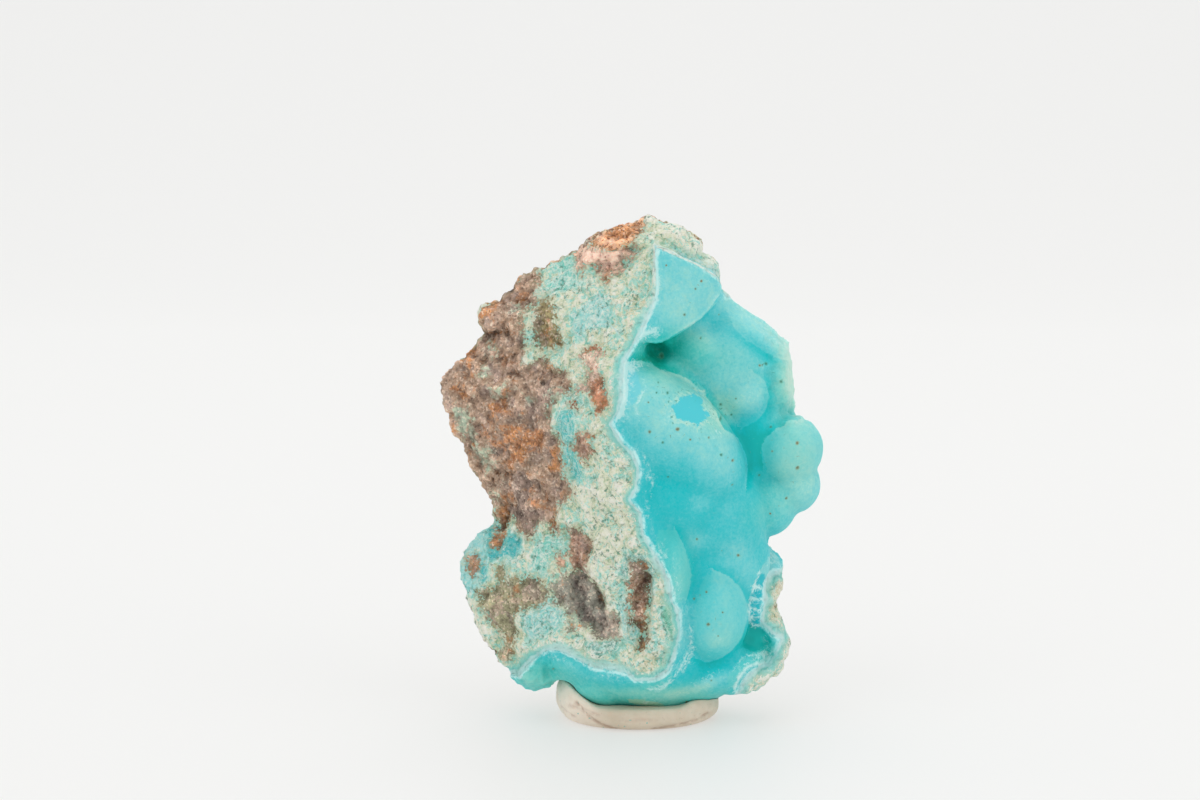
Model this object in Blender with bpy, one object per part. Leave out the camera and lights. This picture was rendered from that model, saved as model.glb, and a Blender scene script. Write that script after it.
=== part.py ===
"""A hand specimen of blue botryoidal hemimorphite on brown matrix, standing on a pressed lump of putty.

Metres, +Z up. The origin is the centre of the putty's flat underside. The broken matrix face looks to the front
left, the blue crust to the front right, and the two meet along a sharp rim. All dimensions below are millimetres.
"""

import math

import bmesh
import bpy
from mathutils import Matrix, Vector, noise

MM = 0.001

# Sizes that drive the meshes
VOXEL = 0.75
BODY_STEP = 1.25
SMOOTHING_PASSES = 2
SPECIMEN_TRIANGLES = 7800
CONTACT_GAP = 0.35
SHARP_ANGLE = 38

# The rock's skin is stretched over eight upright ribs, in order round the rock. Each point is (height, x, y).
RIBS = {
    "left_edge": [
        (2.0, -4.0, 0), (6.4, -12.0, 0), (6.9, -20.0, -1), (9.4, -22.6, 0), (12.9, -24.6, 1), (18.4, -26.8, 2),
        (22.3, -27.8, 2.5), (24.7, -27.4, 3), (27.6, -25.2, 3.5), (29.6, -22.6, 4), (32.4, -22.4, 4),
        (38.6, -26.2, 4), (44.8, -28.8, 4), (47.9, -30.2, 4), (51.0, -31.0, 4), (52.8, -30.0, 4),
        (55.3, -27.4, 4.5), (58.0, -24.4, 5), (60.1, -23.8, 5), (61.9, -25.2, 5), (63.4, -22.4, 5),
        (67.9, -17.6, 5), (69.6, -13.6, 5), (71.4, -9.9, 5), (73.0, -8.2, 5), (75.0, -5.0, 4.5), (76.0, 0.5, 4),
    ],
    "left_face": [
        (2.0, -2.0, -5), (6.9, -10.0, -7.0), (12.0, -12.0, -8.5), (20.0, -13.0, -6.8), (28.0, -12.0, -6.2),
        (36.0, -13.0, -5.2), (44.0, -15.0, -4.6), (52.0, -15.0, -3.8), (60.0, -11.0, -3.6), (66.0, -8.0, -3),
        (72.0, -4.0, -1), (76.0, 1.0, 2),
    ],
    "rim": [
        (2.0, 4.0, -6.0), (5.0, 4.0, -9.0), (8.1, 3.4, -11.5), (12.6, 5.4, -12.5), (19.0, 5.8, -13.5),
        (23.7, 4.4, -14), (29.0, 1.6, -14), (34.0, 0.4, -14), (36.1, -1.2, -14), (40.0, 0.1, -14),
        (43.0, -0.8, -13.5), (47.3, -4.2, -13), (51.0, -2.4, -12), (56.4, -2.2, -10.5), (59.0, -0.4, -10),
        (62.2, 1.2, -8.5), (67.6, 2.5, -6.5), (72.8, 2.3, -4.0), (76.0, 2.6, 0),
    ],
    "floor": [
        (2.0, 9.0, -4), (5.0, 12.0, -6.5), (8.0, 12.0, -7), (12.0, 13.0, -4.5), (18.0, 14.0, -1.5),
        (24.0, 13.0, -3), (30.0, 12.0, -4.5), (38.0, 14.0, -3.5), (44.0, 16.0, -2.5), (52.0, 12.0, -1),
        (57.0, 4.0, -2.5), (60.0, 6.0, -3), (66.0, 9.0, -3), (71.0, 6.5, -1), (76.0, 4.0, 1),
    ],
    "right_edge": [
        (2.0, 11.0, 0), (5.0, 16.0, -1), (7.5, 19.6, -1), (10.2, 22.0, 0), (13.6, 21.2, 0), (18.0, 19.0, 1),
        (22.4, 20.0, 1), (26.0, 20.0, 2), (29.0, 20.6, 3), (34.0, 23.5, 4), (42.0, 24.0, 4), (48.0, 24.4, 4),
        (51.7, 23.8, 4), (55.1, 23.4, 4), (57.4, 23.3, 4.5), (60.5, 19.6, 4.5), (63.6, 14.8, 4.5),
        (66.4, 12.6, 4), (69.6, 12.4, 4), (71.0, 9.6, 4), (73.2, 8.0, 4), (76.0, 5.4, 3.5),
    ],
    "back_right": [
        (2.0, 8.0, 6), (8.0, 15.0, 8), (16.0, 17.0, 11), (28.0, 18.0, 13), (40.0, 20.5, 13), (50.0, 20.5, 13),
        (58.0, 18.0, 12), (66.0, 10.0, 11), (72.0, 7.0, 9), (76.0, 4.2, 6),
    ],
    "back": [
        (2.0, 2.0, 7), (8.0, 0.0, 11.5), (18.0, -2.0, 15.5), (30.0, -3.0, 17.5), (42.0, -4.0, 18), (52.0, -4.0, 17),
        (60.0, -3.0, 15), (68.0, -1.0, 12.5), (72.0, 0.0, 10), (76.0, 2.2, 7),
    ],
    "back_left": [
        (2.0, -3.0, 5), (8.0, -14.0, 7), (16.0, -19.0, 10), (26.0, -20.0, 12), (36.0, -18.0, 13),
        (46.0, -21.0, 12), (54.0, -20.0, 11.5), (62.0, -16.0, 11), (68.0, -10.0, 10), (76.0, 0.4, 6),
    ],
}

# The domes of the blue crust: (centre, radii, tilt about the Y axis in degrees)
DOMES = {
    "central": ((5.5, -4.6, 43.7), (12.8, 9.6, 7.7), 44),
    "central_upper": ((0.2, -5.0, 48.8), (6.9, 8.4, 6.9), 0),
    "central_low": ((5.0, -4.6, 35.8), (9.6, 8.2, 9.0), 0),
    "upper_sheet": ((13.6, 3.8, 53.2), (10.6, 7.2, 8.2), 30),
    "upper_left": ((8.8, 1.2, 56.6), (5.2, 5.4, 4.2), 25),
    "upper_middle": ((16.6, 2.0, 49.8), (4.8, 6.0, 5.0), 0),
    "slope": ((17.2, 4.6, 57.8), (7.6, 5.6, 3.0), 36),
    "saddle": ((17.6, 2.0, 42.6), (5.6, 6.0, 8.4), 0),
    "edge_strip": ((20.9, 3.8, 52.2), (2.6, 5.4, 6.0), -8),
    "right_ball": ((22.7, 1.0, 41.5), (5.6, 6.0, 5.2), 0),
    "right_low": ((23.7, 1.8, 35.8), (4.3, 5.0, 4.4), 0),
    "right_lowest": ((19.3, 0.6, 32.9), (5.0, 5.6, 5.0), 0),
    "floor_high": ((10.2, -3.4, 31.6), (9.4, 7.4, 9.6), 0),
    "floor_low": ((10.8, -2.6, 25.0), (9.2, 7.2, 9.4), 0),
    "middle_a": ((9.2, -5.0, 34.0), (3.8, 4.4, 3.8), 0),
    "middle_b": ((14.4, -3.0, 32.2), (3.6, 4.6, 3.8), 0),
    "middle_c": ((8.9, -4.8, 28.1), (4.2, 4.6, 4.2), 0),
    "middle_d": ((15.3, -2.6, 25.7), (4.8, 5.2, 4.8), 0),
    "middle_e": ((17.2, -1.2, 21.3), (3.0, 4.6, 3.8), 0),
    "wall": ((3.9, -7.4, 23.4), (4.3, 6.4, 8.5), 6),
    "low_ball": ((11.3, -6.0, 17.2), (5.5, 6.6, 7.2), 0),
    "recess_floor": ((17.4, -1.4, 12.6), (3.2, 3.6, 3.6), 0),
    "ladder_floor": ((17.9, -2.2, 19.6), (1.9, 4.4, 5.4), 0),
    "underside": ((0.8, -2.4, 10.7), (12.8, 9.2, 8.6), 0),
    "pressed_left": ((-5.6, -4.8, 6.4), (4.8, 3.9, 3.4), 24),
    "underside_left": ((-8.6, -1.6, 9.4), (7.4, 7.6, 4.0), 24),
    "underside_right": ((11.6, -2.4, 8.2), (8.2, 7.4, 4.2), -18),
    "foot": ((-15.6, -0.6, 8.2), (4.3, 5.6, 3.6), 0),
}

# The fractured block over the cavity: a flat front and a narrower back, as (x, y, z) corners
TOP_BLOCK = [
    (2.4, -5.8, 73.2), (5.0, -5.6, 72.4), (7.7, -5.2, 70.9), (9.9, -4.8, 69.9), (11.8, -4.0, 68.6),
    (12.7, -3.2, 66.9), (12.0, -3.4, 64.4), (9.6, -4.8, 62.1), (7.4, -6.2, 60.8), (5.0, -7.4, 59.3),
    (2.4, -8.8, 58.4), (0.6, -9.2, 59.2), (1.2, -8.8, 61.6), (2.2, -7.8, 65.2),
    (3.0, 4.0, 72.0), (9.0, 4.0, 69.0), (11.6, 4.0, 65.6), (9.0, 3.0, 63.4), (4.0, 3.0, 61.6),
]

# Rounded lumps of rock on the crest and on the left edge: (centre, radii, tilt)
ROCK_LUMPS = {
    "rusty_lump": ((-3.0, 1.6, 72.0), (5.4, 5.0, 3.2), -14),
    "pale_lump": ((4.4, 3.4, 73.2), (5.4, 4.4, 3.0), 24),
    "left_knob": ((-22.1, 5.6, 61.0), (2.7, 3.6, 2.8), 0),
    "left_shoulder": ((-25.2, 5.2, 53.6), (2.6, 3.6, 2.2), 0),
}

# The thin curled wall of crust at the lower right: (x, y of its front edge, z)
LIP_PATH = [
    (20.2, -0.6, 23.9), (20.8, -2.0, 22.8), (21.0, -3.2, 21.3), (20.0, -3.8, 19.7), (18.6, -4.4, 17.9),
    (19.1, -5.0, 16.0), (20.6, -5.4, 13.7), (21.4, -5.8, 11.2), (20.6, -6.4, 8.6), (18.2, -7.0, 7.0),
    (15.9, -7.6, 6.1), (13.4, -7.8, 5.6),
]
LIP_RADII = (1.6, 5.0, 1.6)
LIP_STEP = 0.8

# Hollows cut through the finished form: (centre, radii, tilt)
HOLLOWS = {
    "cavity_under_block": ((3.2, -5.8, 57.0), (2.6, 5.2, 1.5), 24),
}

# Shallow pockets in the broken face: (centre x and z, half sizes, tilt in degrees, depth)
POCKETS = {
    "long_pocket": ((0.2, 18.7), (1.8, 7.2), 4, 1.3),
    "dark_pocket": ((-7.6, 19.6), (2.6, 6.0), -24, 1.1),
    "crest_pocket": ((-2.4, 72.6), (2.8, 1.3), 0, 1.2),
}

# The crust's front outline as (x, z): down the rim, along the bottom, and round by the curled wall
CRUST_OUTLINE = [
    (40.0, 64.4), (13.4, 64.4), (12.6, 66.8), (11.6, 68.4), (7.7, 70.7), (2.4, 73.0), (2.6, 67.6), (2.4, 65.2),
    (1.2, 62.2), (-0.4, 59.1), (-2.2, 56.4), (-2.5, 54.0), (-2.4, 51.1), (-3.1, 48.9), (-4.2, 47.3), (-2.7, 44.8),
    (-0.8, 43.1), (0.1, 40.5), (-0.3, 37.6), (-1.2, 36.1), (0.4, 34.1), (0.6, 31.3), (1.8, 29.0), (3.4, 26.4),
    (4.6, 23.7), (5.1, 20.7), (6.0, 19.0), (6.2, 15.6), (5.6, 12.6), (4.6, 9.6), (2.5, 8.1), (-0.4, 7.9),
    (-1.7, 9.0), (-3.8, 9.5), (-7.0, 9.6), (-9.4, 10.9), (-11.7, 12.1), (-13.7, 11.8), (-15.8, 10.2), (-18.2, 7.1),
    (-40.0, 4.0), (-40.0, -10.0), (40.0, -10.0),
]
OUTLINE_DEPTH = 40.0

# The putty, as rolled and pressed flat: its radii, its raised ends and how its side bulges
PUTTY_RADIUS_X = 12.5
PUTTY_RADIUS_Y = 10.8
PUTTY_HEIGHT = 3.2
PUTTY_LEFT_RISE = 3.6
PUTTY_RIGHT_RISE = 2.3
PUTTY_FOOT_INSET = 0.17
PUTTY_TOP_INSET = 0.10
PUTTY_WAIST = 0.42

# Relief of the broken rock, away from the smooth crust
LUMP_SIZE = 6.5
LUMP_DEPTH = 0.9
LEDGE_SIZE = 3.4
LEDGE_DEPTH = 0.55
BACK_LUMP_SIZE = 12.0
BACK_LUMP_DEPTH = 2.0


def clear_scene():
    for found in list(bpy.data.objects):
        bpy.data.objects.remove(found)


def material(name, colour, roughness):
    made = bpy.data.materials.new(name)
    made.use_nodes = True
    shader = made.node_tree.nodes["Principled BSDF"]
    shader.inputs["Base Color"].default_value = (*colour, 1)
    shader.inputs["Roughness"].default_value = roughness
    shader.inputs["Metallic"].default_value = 0
    return made


def new_object(name, bm):
    """An object in the scene that owns this bmesh's mesh."""
    mesh = bpy.data.meshes.new(name)
    bm.to_mesh(mesh)
    bm.free()
    made = bpy.data.objects.new(name, mesh)
    bpy.context.scene.collection.objects.link(made)
    return made


def evaluated_mesh(obj):
    """A copy of the object's mesh with its modifiers applied."""
    bpy.context.view_layer.update()
    graph = bpy.context.evaluated_depsgraph_get()
    return bpy.data.meshes.new_from_object(obj.evaluated_get(graph))


def smoothstep(low, high, value):
    share = min(max((value - low) / (high - low), 0.0), 1.0)
    return share * share * (3 - 2 * share)


def rib_point(rib, height):
    """(x, y) of a rib at this height, straight between its points."""
    for (z0, x0, y0), (z1, x1, y1) in zip(rib, rib[1:]):
        if height <= z1:
            share = (height - z0) / (z1 - z0)
            return x0 + share * (x1 - x0), y0 + share * (y1 - y0)
    return rib[-1][1:]


def rock_body():
    """The matrix: rings of points on the ribs, joined into a closed skin."""
    bm = bmesh.new()
    low, high = RIBS["rim"][0][0], RIBS["rim"][-1][0]
    count = round((high - low) / BODY_STEP) + 1
    rings = []
    for i in range(count):
        height = low + (high - low) * i / (count - 1)
        points = [rib_point(rib, height) for rib in RIBS.values()]
        rings.append([bm.verts.new((x * MM, y * MM, height * MM)) for x, y in points])
    sides = len(RIBS)
    for lower, upper in zip(rings, rings[1:]):
        for i in range(sides):
            j = (i + 1) % sides
            bm.faces.new((lower[i], lower[j], upper[j], upper[i]))
    bm.faces.new(rings[0])
    bm.faces.new(rings[-1])
    bmesh.ops.triangulate(bm, faces=bm.faces[:])
    bmesh.ops.recalc_face_normals(bm, faces=bm.faces[:])
    return new_object("rock_body", bm)


def ellipsoid(name, centre, radii, tilt=0, subdivisions=4):
    bm = bmesh.new()
    bmesh.ops.create_icosphere(bm, subdivisions=subdivisions, radius=1)
    scale = Matrix.Diagonal((*(r * MM for r in radii), 1))
    turn = Matrix.Rotation(math.radians(tilt), 4, "Y")
    place = Matrix.Translation(Vector(centre) * MM)
    bmesh.ops.transform(bm, matrix=place @ turn @ scale, verts=bm.verts[:])
    return new_object(name, bm)


def hull(name, corners):
    bm = bmesh.new()
    points = [bm.verts.new(Vector(corner) * MM) for corner in corners]
    bmesh.ops.convex_hull(bm, input=points)
    bmesh.ops.recalc_face_normals(bm, faces=bm.faces[:])
    return new_object(name, bm)


def crust_prism():
    """The crust's outline drawn out from front to back, which trims the domes along the fracture."""
    bm = bmesh.new()
    front = [bm.verts.new((x * MM, -OUTLINE_DEPTH * MM, z * MM)) for x, z in CRUST_OUTLINE]
    face = bm.faces.new(front)
    swept = bmesh.ops.extrude_face_region(bm, geom=[face])
    moved = [v for v in swept["geom"] if isinstance(v, bmesh.types.BMVert)]
    bmesh.ops.translate(bm, verts=moved, vec=(0, 2 * OUTLINE_DEPTH * MM, 0))
    bmesh.ops.triangulate(bm, faces=bm.faces[:])
    bmesh.ops.recalc_face_normals(bm, faces=bm.faces[:])
    return new_object("crust_prism", bm)


def boolean(obj, other, operation):
    cut = obj.modifiers.new(other.name, "BOOLEAN")
    cut.operation = operation
    cut.object = other
    cut.solver = "EXACT"


def lip_points():
    """Points at even steps along the curled wall's front edge."""
    points = []
    for start, end in zip(LIP_PATH, LIP_PATH[1:]):
        a, b = Vector(start), Vector(end)
        steps = max(1, round((b - a).length / LIP_STEP))
        points += [a.lerp(b, i / steps) for i in range(steps)]
    return points + [Vector(LIP_PATH[-1])]


def crust_pieces():
    """The domes, trimmed along the fracture, and the untrimmed block and curled wall."""
    prism = crust_prism()
    domes = [ellipsoid(name, *shape) for name, shape in DOMES.items()]
    for dome in domes:
        boolean(dome, prism, "INTERSECT")
    wall = []
    for i, point in enumerate(lip_points()):
        centre = point + Vector((0, LIP_RADII[1], 0))
        wall.append(ellipsoid(f"lip_{i}", centre, LIP_RADII, subdivisions=3))
    return domes + wall + [hull("top_block", TOP_BLOCK)], prism


def joined(name, pieces):
    """One object that holds the pieces' meshes side by side."""
    bm = bmesh.new()
    for piece in pieces:
        mesh = evaluated_mesh(piece)
        bm.from_mesh(mesh)
        bpy.data.meshes.remove(mesh)
    return new_object(name, bm)


def apply_modifiers(obj):
    obj.data = evaluated_mesh(obj)
    obj.modifiers.clear()


def fuse(obj, smoothing):
    """Wraps one closed, slightly smoothed skin round everything in the mesh."""
    remesh = obj.modifiers.new("Remesh", "REMESH")
    remesh.mode = "VOXEL"
    remesh.voxel_size = VOXEL * MM
    smooth = obj.modifiers.new("Smooth", "SMOOTH")
    smooth.iterations = smoothing
    apply_modifiers(obj)


def outline_distance(x, z):
    """Signed distance from the crust's outline in millimetres, positive on the crust's side."""
    inside = False
    nearest = math.inf
    for (ax, az), (bx, bz) in zip(CRUST_OUTLINE, CRUST_OUTLINE[1:] + CRUST_OUTLINE[:1]):
        if (az > z) != (bz > z) and x < ax + (z - az) * (bx - ax) / (bz - az):
            inside = not inside
        dx, dz = bx - ax, bz - az
        share = min(max(((x - ax) * dx + (z - az) * dz) / (dx * dx + dz * dz), 0), 1)
        nearest = min(nearest, math.hypot(x - ax - share * dx, z - az - share * dz))
    return nearest if inside else -nearest


def dome_distance(point):
    """Rough distance in millimetres from the nearest dome's surface."""
    nearest = math.inf
    for centre, radii, tilt in DOMES.values():
        local = Matrix.Rotation(-math.radians(tilt), 3, "Y") @ (point - Vector(centre))
        share = math.sqrt(sum((c / r) ** 2 for c, r in zip(local, radii)))
        nearest = min(nearest, abs(share - 1) * min(radii))
    return nearest


def roughness_of(point):
    """0 on the smooth crust, 1 on the broken rock."""
    beyond_rim = -outline_distance(point.x, point.z)
    off_domes = smoothstep(0.4, 1.6, dome_distance(point)) * smoothstep(1.0, 5.0, point.y)
    return max(smoothstep(0.0, 1.0, beyond_rim), off_domes)


def pocket_depth(point):
    """How far the broken face is sunk at this point."""
    deepest = 0
    for (cx, cz), (rx, rz), tilt, depth in POCKETS.values():
        turn = math.radians(tilt)
        dx, dz = point.x - cx, point.z - cz
        across = (dx * math.cos(turn) - dz * math.sin(turn)) / rx
        along = (dx * math.sin(turn) + dz * math.cos(turn)) / rz
        deepest = max(deepest, depth * (1 - smoothstep(0.6, 1.1, math.hypot(across, along))))
    return deepest


def weather(obj):
    """Moves the broken rock's points in and out, in lumps and small ledges, and sinks the pockets."""
    obj.data.update()
    normals = [v.normal.copy() for v in obj.data.vertices]
    for vertex, normal in zip(obj.data.vertices, normals):
        point = vertex.co / MM
        rough = roughness_of(point)
        if rough <= 0:
            continue
        lumps = noise.fractal(point / LUMP_SIZE, 0.9, 2.1, 3)
        distances = noise.voronoi(point / LEDGE_SIZE)[0]
        ledges = min(distances[1] - distances[0], 0.5) - 0.25
        move = rough * (LUMP_DEPTH * lumps + LEDGE_DEPTH * ledges)
        back = smoothstep(5.0, 11.0, point.y)
        move += back * BACK_LUMP_DEPTH * noise.noise(point / BACK_LUMP_SIZE)
        if normal.y < 0:
            move -= pocket_depth(point)
        vertex.co += normal * move * MM


def thin_out(obj, triangles):
    """Leaves about this many triangles, smooth on the domes and sharp along the breaks."""
    bm = bmesh.new()
    bm.from_mesh(obj.data)
    bmesh.ops.triangulate(bm, faces=bm.faces[:])
    bm.to_mesh(obj.data)
    bm.free()
    decimate = obj.modifiers.new("Decimate", "DECIMATE")
    decimate.ratio = min(1.0, triangles / len(obj.data.polygons))
    apply_modifiers(obj)
    obj.data.shade_smooth()
    obj.data.set_sharp_from_angle(angle=math.radians(SHARP_ANGLE))


def remove(objects):
    for obj in objects:
        bpy.data.objects.remove(obj)


def specimen():
    """The rock with its crust, grown as one piece."""
    hollows = [ellipsoid(name, *shape, subdivisions=3) for name, shape in HOLLOWS.items()]
    pieces, prism = crust_pieces()
    pieces += [rock_body(), *(ellipsoid(name, *shape) for name, shape in ROCK_LUMPS.items())]
    made = joined("hemimorphite", pieces)
    fuse(made, 1)
    for hollow in hollows:
        boolean(made, hollow, "DIFFERENCE")
    fuse(made, SMOOTHING_PASSES)
    remove([*pieces, *hollows, prism])
    weather(made)
    thin_out(made, SPECIMEN_TRIANGLES)
    made.data.materials.append(material("hemimorphite", (0.13, 0.62, 0.66), 0.45))
    return made


def putty_top(x):
    """Height of the putty: low in the middle and raised at both ends."""
    rise = PUTTY_LEFT_RISE if x < 0 else PUTTY_RIGHT_RISE
    return PUTTY_HEIGHT + rise * smoothstep(0.45, 1.0, abs(x) / PUTTY_RADIUS_X)


def putty_profile(level):
    """Shares of the radius and of the height on the bulging side, for a level of -1 at the foot to 1 at the top."""
    turn = level * math.pi / 2
    inset = PUTTY_FOOT_INSET if level < 0 else PUTTY_TOP_INSET
    reach = PUTTY_WAIST if level < 0 else 1 - PUTTY_WAIST
    return 1 - inset * (1 - math.cos(turn)), PUTTY_WAIST + reach * math.sin(turn)


def putty_lump():
    """A round lump with bulging sides, before the specimen is pressed into it."""
    bm = bmesh.new()
    around, up = 56, 9
    rings = []
    for level in range(up):
        bulge, lift = putty_profile(2 * level / (up - 1) - 1)
        ring = []
        for i in range(around):
            turn = 2 * math.pi * i / around
            side = Vector((math.cos(turn), math.sin(turn)))
            x, y = side.x * PUTTY_RADIUS_X * bulge, side.y * PUTTY_RADIUS_Y * bulge
            height = putty_top(x) * lift
            wobble = 0 if level == 0 else 0.35 * noise.noise(Vector((x, y, height)) / 4.0)
            ring.append(bm.verts.new(((x + side.x * wobble) * MM, (y + side.y * wobble) * MM, height * MM)))
        rings.append(ring)
    for lower, upper in zip(rings, rings[1:]):
        for i in range(around):
            j = (i + 1) % around
            bm.faces.new((lower[i], lower[j], upper[j], upper[i]))
    bm.faces.new(list(reversed(rings[0])))
    bm.faces.new(rings[-1])
    bmesh.ops.triangulate(bm, faces=bm.faces[:])
    bmesh.ops.recalc_face_normals(bm, faces=bm.faces[:])
    return new_object("putty_base", bm)


def press_into(putty, rock):
    """Cuts the putty where the rock lies in it, with a thin gap all round."""
    mesh = evaluated_mesh(rock)
    print_of_rock = bpy.data.objects.new("print_of_rock", mesh)
    bpy.context.scene.collection.objects.link(print_of_rock)
    print_of_rock.hide_render = True
    print_of_rock.display_type = "WIRE"
    mesh.update()
    normals = [v.normal.copy() for v in mesh.vertices]
    for vertex, normal in zip(mesh.vertices, normals):
        vertex.co += normal * CONTACT_GAP * MM
    boolean(putty, print_of_rock, "DIFFERENCE")


def main():
    clear_scene()
    rock = specimen()
    putty = putty_lump()
    press_into(putty, rock)
    putty.data.shade_smooth()
    putty.data.set_sharp_from_angle(angle=math.radians(SHARP_ANGLE))
    putty.data.materials.append(material("putty", (0.83, 0.77, 0.68), 0.8))


main()
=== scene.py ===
"""Looks of the hemimorphite specimen: the blue crust, the broken matrix and the putty lump it stands on.

Metres, +Z up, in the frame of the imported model. Shapes and markings are listed in millimetres. The broken
matrix face looks to the front left, the crust to the front right, and the rim between them faces the camera.
"""

import math

import bmesh
import bpy
import numpy as np
from mathutils import Matrix, Vector, noise
from mathutils.bvhtree import BVHTree


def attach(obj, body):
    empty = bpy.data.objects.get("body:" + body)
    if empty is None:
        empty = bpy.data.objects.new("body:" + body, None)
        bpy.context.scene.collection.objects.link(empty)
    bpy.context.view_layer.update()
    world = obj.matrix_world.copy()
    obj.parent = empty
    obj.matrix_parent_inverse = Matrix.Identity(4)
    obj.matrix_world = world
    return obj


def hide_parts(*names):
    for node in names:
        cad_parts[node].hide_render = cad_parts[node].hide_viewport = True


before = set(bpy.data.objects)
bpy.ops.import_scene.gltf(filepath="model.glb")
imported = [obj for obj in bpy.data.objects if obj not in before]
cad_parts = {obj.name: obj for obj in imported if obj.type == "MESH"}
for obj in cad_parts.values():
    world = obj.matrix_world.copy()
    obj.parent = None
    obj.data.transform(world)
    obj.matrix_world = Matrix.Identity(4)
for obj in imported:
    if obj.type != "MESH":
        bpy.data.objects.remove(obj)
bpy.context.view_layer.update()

MM = 0.001

# How finely the meshes are made
VOXEL = 0.385
BODY_STEP = 0.8
DOME_DIVISIONS = 5
SMALL_DIVISIONS = 4
PUTTY_DIVISIONS = 6
SMOOTHING_PASSES = 3
VALLEY_PASSES = 4
VALLEY_ROUNDS = 4
HOLLOW_PASSES = 60

# The rock's skin is stretched over eight upright ribs, in order round the rock. Each point is (height, x, y).
RIBS = {
    "left_edge": [
        (2, -4, 0), (6.4, -12, 0), (6.9, -20, -1), (9.4, -22.6, 0), (12.9, -24.6, 1), (18.4, -26.8, 2),
        (22.3, -27.8, 2.5), (24.7, -27.4, 3), (27.6, -25.2, 3.5), (29.6, -22.6, 4), (32.4, -22.4, 4),
        (38.6, -26.2, 4), (44.8, -28.8, 4), (47.9, -30.2, 4), (51, -31, 4), (52.8, -30, 4),
        (55.3, -27.4, 4.5), (58, -24.4, 5), (60.1, -23.8, 5), (61.9, -25.2, 5), (63.4, -22.4, 5),
        (67.9, -17.6, 5), (69.6, -13.6, 5), (71.4, -9.9, 5), (73, -8.2, 5), (75, -5, 4.5), (76, 0.5, 4),
    ],
    "left_face": [
        (2, -2, -5), (6.9, -10, -7), (12, -12, -8.5), (20, -13, -6.8), (28, -12, -6.2), (36, -13, -5.2),
        (44, -15, -4.6), (52, -15, -3.8), (60, -11, -3.6), (66, -8, -3), (72, -4, -1), (76, 1, 2),
    ],
    "rim": [
        (2, 4, -6), (5, 4, -9), (8.1, 3.4, -11.5), (12.6, 5.4, -12.5), (19, 5.8, -13.5), (23.7, 4.4, -14),
        (29, 1.6, -14), (34, 0.4, -14), (36.1, -1.2, -14), (40, 0.1, -14), (43, -0.8, -13.5),
        (47.3, -4.2, -13), (51, -2.4, -12), (56.4, -2.2, -10.5), (59, -0.4, -10), (62.2, 1.2, -8.5),
        (67.6, 2.5, -6.5), (72.8, 2.3, -4), (76, 2.6, 0),
    ],
    "floor": [
        (2, 9, -4), (5, 12, -6.5), (8, 12, -7), (12, 13, -4.5), (18, 14, -1.5), (24, 13, -3),
        (30, 12, -4.5), (38, 14, -3.5), (44, 16, -2.5), (52, 12, -1), (57, 4, -2.5), (60, 6, -3),
        (66, 9, -3), (71, 6.5, -1), (76, 4, 1),
    ],
    "right_edge": [
        (2, 11, 0), (5, 16, -1), (7.5, 19.6, -1), (10.2, 22, 0), (13.6, 21.2, 0), (18, 19, 1),
        (22.4, 20, 1), (26, 20, 2), (29, 20.6, 3), (34, 23.5, 4), (42, 24, 4), (48, 24.4, 4),
        (51.7, 23.8, 4), (55.1, 23.4, 4), (57.4, 23.3, 4.5), (60.5, 19.6, 4.5), (63.6, 14.8, 4.5),
        (66.4, 12.6, 4), (69.6, 12.4, 4), (71, 9.6, 4), (73.2, 8, 4), (76, 5.4, 3.5),
    ],
    "back_right": [
        (2, 8, 6), (8, 15, 8), (16, 17, 11), (28, 18, 13), (40, 20.5, 13), (50, 20.5, 13), (58, 18, 12),
        (66, 10, 11), (72, 7, 9), (76, 4.2, 6),
    ],
    "back": [
        (2, 2, 7), (8, 0, 11.5), (18, -2, 15.5), (30, -3, 17.5), (42, -4, 18), (52, -4, 17), (60, -3, 15),
        (68, -1, 12.5), (72, 0, 10), (76, 2.2, 7),
    ],
    "back_left": [
        (2, -3, 5), (8, -14, 7), (16, -19, 10), (26, -20, 12), (36, -18, 13), (46, -21, 12),
        (54, -20, 11.5), (62, -16, 11), (68, -10, 10), (76, 0.4, 6),
    ],
}

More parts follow.
